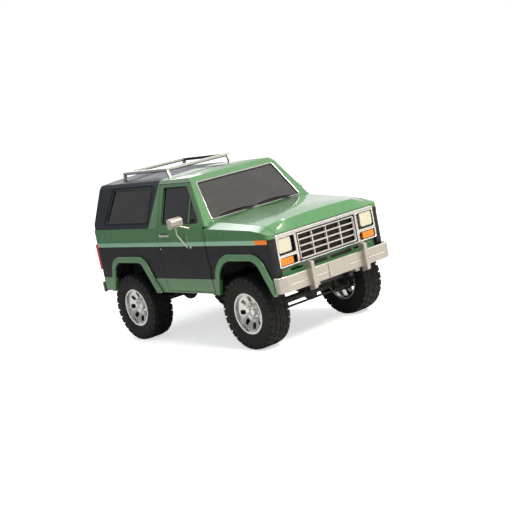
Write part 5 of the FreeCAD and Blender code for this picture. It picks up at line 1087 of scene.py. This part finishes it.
for (side, sign), inset in zip(handSides, rear["lensInsets"]):
    proud = rear["lensProud"]
    (lampX, y0, lampZ), (_, y1, _) = span("tail_lamps", lambda spot: spot.y * sign > 0)
    z = lampZ + 2 * inset
    low, high = (lampX - proud, y0 + inset, z), (lampX + proud, y1 - 2 * inset, z + rear["lensTall"])
    placed("reverseLens" + side, block("lens", low, high, rear["lensEdge"], 3), "headLens")
    (faceX, y0, z0), (_, y1, z1) = span("mirror_" + side.lower(), lambda spot: spot.z > rear["mirrorFoot"])
    (x0, x1), inset = rear["mirrorSpan"], rear["mirrorInset"]
    sheet = block(
        "sheet", (faceX + x0, y0 + inset, z0 + inset), (faceX + x1, y1 - inset, z1 - inset),
        rear["mirrorEdge"],
    )
    placed("mirrorFace" + side, sheet, "mirrorFace", "door_" + side.lower())

wiper = {
    "places": (0.335, -0.33), "half": 0.295, "rise": 0.032, "proud": 0.012, "tilt": 0.013, "foot": 0.005,
    "arch": 0.026, "curve": 0.7, "slant": 0.35, "thick": 0.004, "topShare": 0.7, "steps": 16, "sharp": 40.0,
}


def wiperBridge(y):
    # the sprung bridge that stands on a blade, tall in its middle
    origin, rise, normal, _ = screenAxes()
    points, faces, steps = [], [], wiper["steps"]
    for i in range(steps + 1):
        part = 2 * i / steps - 1
        foot = origin + Vector((0, y + part * wiper["half"], 0)) + normal * wiper["proud"]
        foot += rise * (wiper["rise"] - part * wiper["tilt"])
        tall = wiper["foot"] + wiper["arch"] * (1 - abs(part)) ** wiper["curve"]
        top = foot + rise * (tall * wiper["slant"]) + normal * tall
        for thick in (-wiper["thick"], wiper["thick"]):
            points += [foot + rise * thick, top + rise * (thick * wiper["topShare"])]
    for here in range(0, 4 * steps, 4):
        for a, b in ((0, 1), (1, 3), (3, 2), (2, 0)):
            faces.append((here + a, here + b, here + 4 + b, here + 4 + a))
    faces += [tuple(end + corner for corner in (0, 1, 3, 2)) for end in (0, 4 * steps)]
    return outward(meshOf("wiperBridge", points, faces))


bridges = merged([wiperBridge(y) for y in wiper["places"]], "wiperBridges")
placed("wiperBridges", smooth(bridges, wiper["sharp"]), "blackPaint")
print("fittings made")


# seats

padding = {
    "voxel": 0.02, "pressure": 4.0, "frames": 16, "quality": 4, "cap": 0.014, "shrink": 0.012, "edge": 0.03,
    "groove": 0.011, "grooveWidth": 0.012, "border": 0.07, "rim": 0.06, "piping": 0.0045, "corner": 0.05,
    "stitch": 0.03, "seam": 0.72, "fill": 0.75,
}


def swollen(name, mesh):
    # cloth blown up by a little pressure, each point held to a short move
    helper = plain(name + "Work", mesh)
    soft = helper.modifiers.new("soft", "CLOTH")
    soft.settings.use_pressure = True
    soft.settings.uniform_pressure_force = padding["pressure"]
    soft.settings.effector_weights.gravity = 0.0
    soft.settings.quality = padding["quality"]
    soft.point_cache.frame_end = padding["frames"]
    for moment in range(1, padding["frames"] + 1):
        bpy.context.scene.frame_set(moment)
    before = [vertex.co.copy() for vertex in mesh.vertices]
    after = evaluated(helper, name)
    bpy.context.scene.frame_set(1)
    for vertex, start in zip(after.vertices, before):
        move = vertex.co - start
        vertex.co = start + move.normalized() * min(move.length, padding["cap"])
    return after


def padMesh(name, size, channels):
    # a stuffed block lying on its back, with sewn channels pressed into its upper side
    shrink = padding["shrink"]
    half = Vector(size) / 2
    work = bmesh.new()
    bmesh.ops.create_cube(work, size=1.0)
    for vertex in work.verts:
        vertex.co = Vector(a * (2 * b - 2 * shrink) for a, b in zip(vertex.co, half))
    bmesh.ops.bevel(work, geom=work.edges[:], offset=padding["edge"], segments=3, affect="EDGES")
    helper = plain(name + "Block", taken(work, name))
    remesh = helper.modifiers.new("even", "REMESH")
    remesh.mode = "VOXEL"
    remesh.voxel_size = padding["voxel"]
    swell = swollen(name, evaluated(helper, name))
    helper = plain(name + "Fine", swell)
    finer = helper.modifiers.new("finer", "SUBSURF")
    finer.levels = finer.render_levels = 1
    fine = evaluated(helper, name)
    for vertex in fine.vertices:
        x, y, z = vertex.co
        top = max(0.0, min(1.0, z / half.z * 2))
        border = abs(abs(x) - half.x + padding["border"])
        near = min([abs(y - line) for line in channels] + [border])
        if abs(x) < half.x - padding["rim"] or near == border:
            vertex.co.z -= top * padding["groove"] * math.exp(-((near / padding["grooveWidth"]) ** 2))
    fine.shade_smooth()
    return fine


def piping(name, mesh, size):
    # the corded seam round a pad's upper edge
    tree = BVHTree.FromPolygons(
        [vertex.co for vertex in mesh.vertices], [face.vertices for face in mesh.polygons],
    )
    half = Vector(size) / 2
    flat = [(-half.x, -half.y, 0), (half.x, -half.y, 0), (half.x, half.y, 0), (-half.x, half.y, 0)]
    corners = roundedLoop(flat, padding["corner"])
    points = []
    for i, here in enumerate(corners):
        there = corners[(i + 1) % len(corners)]
        parts = max(1, int((there - here).length / padding["stitch"]))
        points += [here.lerp(there, j / parts) for j in range(parts)]
    seam = half.z * padding["seam"]
    found = [tree.find_nearest(Vector((point.x, point.y, seam)))[0] for point in points]
    return bead(name, found, padding["piping"], "cabinVinyl", sides=8)


def leant(x, z, angle):
    # a place on the car's middle, leaning back
    return Matrix.Translation((x, 0, z)) @ Matrix.Rotation(math.radians(angle), 4, "Y")


# pads are (along, thick) with (x, z) of their place, bases (x0, x1, y0, y1) and shells
# (x, z, tall, y0, y1)
seat = {
    "frontY": 0.5115, "frontWidth": 0.5, "benchWidth": 1.17, "frontSeams": [-0.085, 0.085],
    "benchSeams": [-0.3, 0.0, 0.3], "cushion": (0.44, 0.17), "cushionPlace": (0.128, 1.037),
    "back": (0.56, 0.15), "backPlace": (-0.207, 1.325), "benchPlace": (-0.648, 1.037),
    "benchBack": (0.43, 0.15), "benchBackPlace": (-0.985, 1.26), "lean": 105.0, "tip": -3.0,
    "bases": [(-0.19, 0.33, 0.27, 0.75), (-0.19, 0.33, -0.75, -0.27), (-0.97, -0.44, -0.58, 0.58)],
    "baseLow": 0.842, "baseHigh": 0.955, "baseEdge": 0.012,
    "shells": [
        (-0.287, 1.3, 0.56, 0.272, 0.751), (-0.287, 1.3, 0.56, -0.751, -0.272),
        (-1.065, 1.24, 0.43, -0.57, 0.57),
    ],
    "shellHalf": 0.012, "shellEdge": 0.008,
}


def seatPieces():
    # padded cushions with piping, on a base and a shell behind each back
    (depth, thick), (tall, deep), (benchTall, benchDeep) = seat["cushion"], seat["back"], seat["benchBack"]
    wide, bench, lean, tip = seat["frontWidth"], seat["benchWidth"], seat["lean"], seat["tip"]
    kinds = {
        "seatCushion": (
            (depth, wide, thick), seat["frontSeams"], leant(*seat["cushionPlace"], tip), (-1, 1),
        ),
        "seatBack": ((tall, wide, deep), seat["frontSeams"], leant(*seat["backPlace"], lean), (-1, 1)),
        "benchCushion": ((depth, bench, thick), seat["benchSeams"], leant(*seat["benchPlace"], tip), (0,)),
        "benchBack": (
            (benchTall, bench, benchDeep), seat["benchSeams"], leant(*seat["benchBackPlace"], lean), (0,),
        ),
    }
    for name, (size, channels, place, sides) in kinds.items():
        mesh = padMesh(name, size, channels)
        cord = piping(name + "Piping", mesh, size)
        for side in sides:
            label = name + {-1: "Right", 0: "", 1: "Left"}[side]
            spot = Matrix.Translation((0, side * seat["frontY"], 0)) @ place
            cover, seam = mesh.copy(), cord.copy()
            cover.transform(spot)
            seam.transform(spot)
            placed(label, cover, "seatCloth")
            placed(label + "Piping", seam, "cabinVinyl", slot="seat_cloth")
    parts = []
    for x0, x1, y0, y1 in seat["bases"]:
        parts.append(
            block("base", (x0, y0, seat["baseLow"]), (x1, y1, seat["baseHigh"]), seat["baseEdge"], 3)
        )
    for x, z, tall, y0, y1 in seat["shells"]:
        half = seat["shellHalf"]
        shell = boxMesh("shell", (-tall / 2, y0, -half), (tall / 2, y1, half))
        shell.transform(leant(x, z, lean))
        parts.append(eased("shell", shell, seat["shellEdge"], 3))
    frames = placed("seatFrames", merged(parts, "seatFrames"), "cabinVinyl")
    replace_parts(frames, "seats")


seatPieces()
print("seats made")


# windows, trims and seals

# a trim is (inset from the glass's edge, proud of it, radius)
trim = {
    "doorWindow": [(-0.308, 1.685), (0.5537, 1.685), (0.2213, 2.161), (-0.308, 2.161)],
    "topWindow": [(-0.668, 1.722), (-0.612, 2.17), (-1.559, 2.17), (-1.707, 1.722)], "doorRadius": 0.02,
    "topRadius": 0.034, "screenRadius": 0.03, "sides": 10, "doorSeal": (-0.004, 0.0075),
    "topSeal": (-0.006, 0.01), "screenTrim": (0.002, 0.001, 0.011), "screenSeal": (0.016, -0.002, 0.009),
}


def screenPoints(inset, proud):
    # the windscreen's outline on its slope
    origin, rise, normal, length = screenAxes()
    low, high = screen["low"][2] - inset, screen["high"][2] - inset
    flat = [(-low, inset), (low, inset), (high, length - inset), (-high, length - inset)]
    loop = roundedLoop([(u, v, 0) for u, v in flat], trim["screenRadius"])
    return [origin + Vector((0, u, 0)) + rise * v + normal * proud for u, v, _ in loop]


for name, key, material in (
    ("windscreenTrim", "screenTrim", "chromePlate"), ("windscreenSeal", "screenSeal", "rubberSeal"),
):
    inset, proud, radius = trim[key]
    beaded(name, screenPoints(inset, proud), radius, material, sides=trim["sides"])
for side, sign in handSides:
    door = "door_" + side.lower()
    for name, window, turn, body in (
        ("doorSeal", "doorWindow", "doorRadius", door), ("topSeal", "topWindow", "topRadius", "chassis"),
    ):
        proud, radius = trim[name]
        loop = onSide(roundedLoop(trim[window], trim[turn]), proud, sign)
        beaded(name + side, loop, radius, "rubberSeal", body, sides=trim["sides"])
print("seals made")


# stage, lamps and camera

stage = {
    "floor": 60.0, "floorTone": (0.8, 0.8, 0.8), "nearGlow": 0.62, "farGlow": 1.0, "near": 3.5, "far": 12.0,
    "air": 0.34, "sheenLow": -0.25, "sheenHigh": 0.45, "sheenDark": 0.36, "sheenUp": 0.9, "sheenSide": 0.5,
    "airTone": (0.86, 0.93, 1.0), "wallTone": (1.0, 1.0, 1.0),
}


def floorFinish():
    # a pale floor that glows to the camera alone, more towards the distance
    made = Finish("studioFloor", colour=stage["floorTone"], rough=0.9, gloss=0.0)
    x, y, z = made.axes()
    reach = made.ramp(
        (x * x + y * y).power(0.5), stage["near"], stage["far"], stage["nearGlow"], stage["farGlow"],
    )
    plain, seen = made.shader.outputs[0], made.node("ShaderNodeLightPath", output="Is Camera Ray")
    glow = made.node("ShaderNodeEmission", None, {"Strength": reach})
    both = made.node("ShaderNodeAddShader", None, {0: plain, 1: glow})
    pick = made.node("ShaderNodeMixShader", None, {0: seen, 1: plain, 2: both})
    out = next(found for found in made.tree.nodes if found.type == "OUTPUT_MATERIAL")
    made.plug(out.inputs["Surface"], pick)


floorFinish()
floorMesh = meshOf(
    "studioFloor", [(x, y, 0.0) for x, y in ((-1, -1), (1, -1), (1, 1), (-1, 1))], [(0, 1, 2, 3)],
)
floorMesh.transform(Matrix.Scale(stage["floor"], 4))
floor = plain("studioFloor", floorMesh)
floorMesh.materials.append(finishes["studioFloor"])
floor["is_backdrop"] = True


class Surround(Finish):
    # the studio's pale walls, with the same shader maths

    def __init__(self, world):
        self.tree = world.node_tree
        self.coords = self.tree.nodes.new("ShaderNodeTexCoord").outputs["Generated"]

    def light(self, tone, strength):
        return self.node("ShaderNodeBackground", None, {"Color": tone, "Strength": strength})

    def either(self, ray, first, second):
        # one light for a kind of ray, another for the rest
        seen = self.node("ShaderNodeLightPath", output=ray)
        return self.node("ShaderNodeMixShader", None, {0: seen, 1: first, 2: second})


world = bpy.data.worlds.new("studio")
bpy.context.scene.world = world
world.use_nodes = True
walls = Surround(world)
x, y, z = walls.axes()
slope = z * stage["sheenUp"] + y * stage["sheenSide"]
sheen = walls.ramp(slope, stage["sheenLow"], stage["sheenHigh"], stage["sheenDark"], 1.0)
dim = walls.light(stage["airTone"], stage["air"])
mirrored = walls.either("Is Glossy Ray", dim, walls.light(stage["wallTone"], sheen))
whole = walls.either("Is Camera Ray", mirrored, walls.light(stage["wallTone"], 1.0))
end = next(found for found in walls.tree.nodes if found.type == "OUTPUT_WORLD")
walls.plug(end.inputs["Surface"], whole)

lamps = {
    "keyLamp": {"place": (9.5, 1.0, 11.0), "size": 7.0, "power": 2900.0, "tone": (1.0, 0.93, 0.76)},
    "fillLamp": {"place": (4.0, -11.0, 5.0), "size": 8.0, "power": 160.0, "tone": (0.9, 0.95, 1.0)},
    "rimLamp": {"place": (-9.0, 3.0, 8.0), "size": 7.0, "power": 500.0, "tone": (0.95, 0.97, 1.0)},
}
for name, setting in lamps.items():
    data = bpy.data.lights.new(name, "AREA")
    data.shape = "DISK"
    data.size = setting["size"]
    data.energy = setting["power"]
    data.color = setting["tone"]
    lamp = bpy.data.objects.new(name, data)
    lamp.location = setting["place"]
    aim = Vector((0, 0, 1.0)) - Vector(setting["place"])
    lamp.rotation_euler = aim.to_track_quat("-Z", "Y").to_euler()
    bpy.context.scene.collection.objects.link(lamp)

camera = {
    "place": (13.188, -10.193, 3.562), "right": (0.63583, 0.74801, -0.19029),
    "up": (0.0015, 0.24534, 0.96945), "back": (0.77183, -0.61668, 0.15487), "lens": 84.07, "sensor": 36.0,
    "far": 200.0,
}
eye = bpy.data.cameras.new("photoCamera")
eye.lens = camera["lens"]
eye.sensor_width = camera["sensor"]
eye.clip_end = camera["far"]
viewer = bpy.data.objects.new("photoCamera", eye)
turn = Matrix([camera["right"], camera["up"], camera["back"]]).transposed()
viewer.matrix_world = Matrix.Translation(camera["place"]) @ turn.to_4x4()
bpy.context.scene.collection.objects.link(viewer)
bpy.context.scene.camera = viewer
bpy.context.scene.view_settings.view_transform = "Standard"
print("stage and camera set")

triangles = {}
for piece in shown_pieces():
    if piece.type == "MESH":
        piece.data.calc_loop_triangles()
        triangles[piece.name] = len(piece.data.loop_triangles)
print("triangles", sum(triangles.values()), sorted(triangles.items(), key=lambda row: -row[1])[:5])
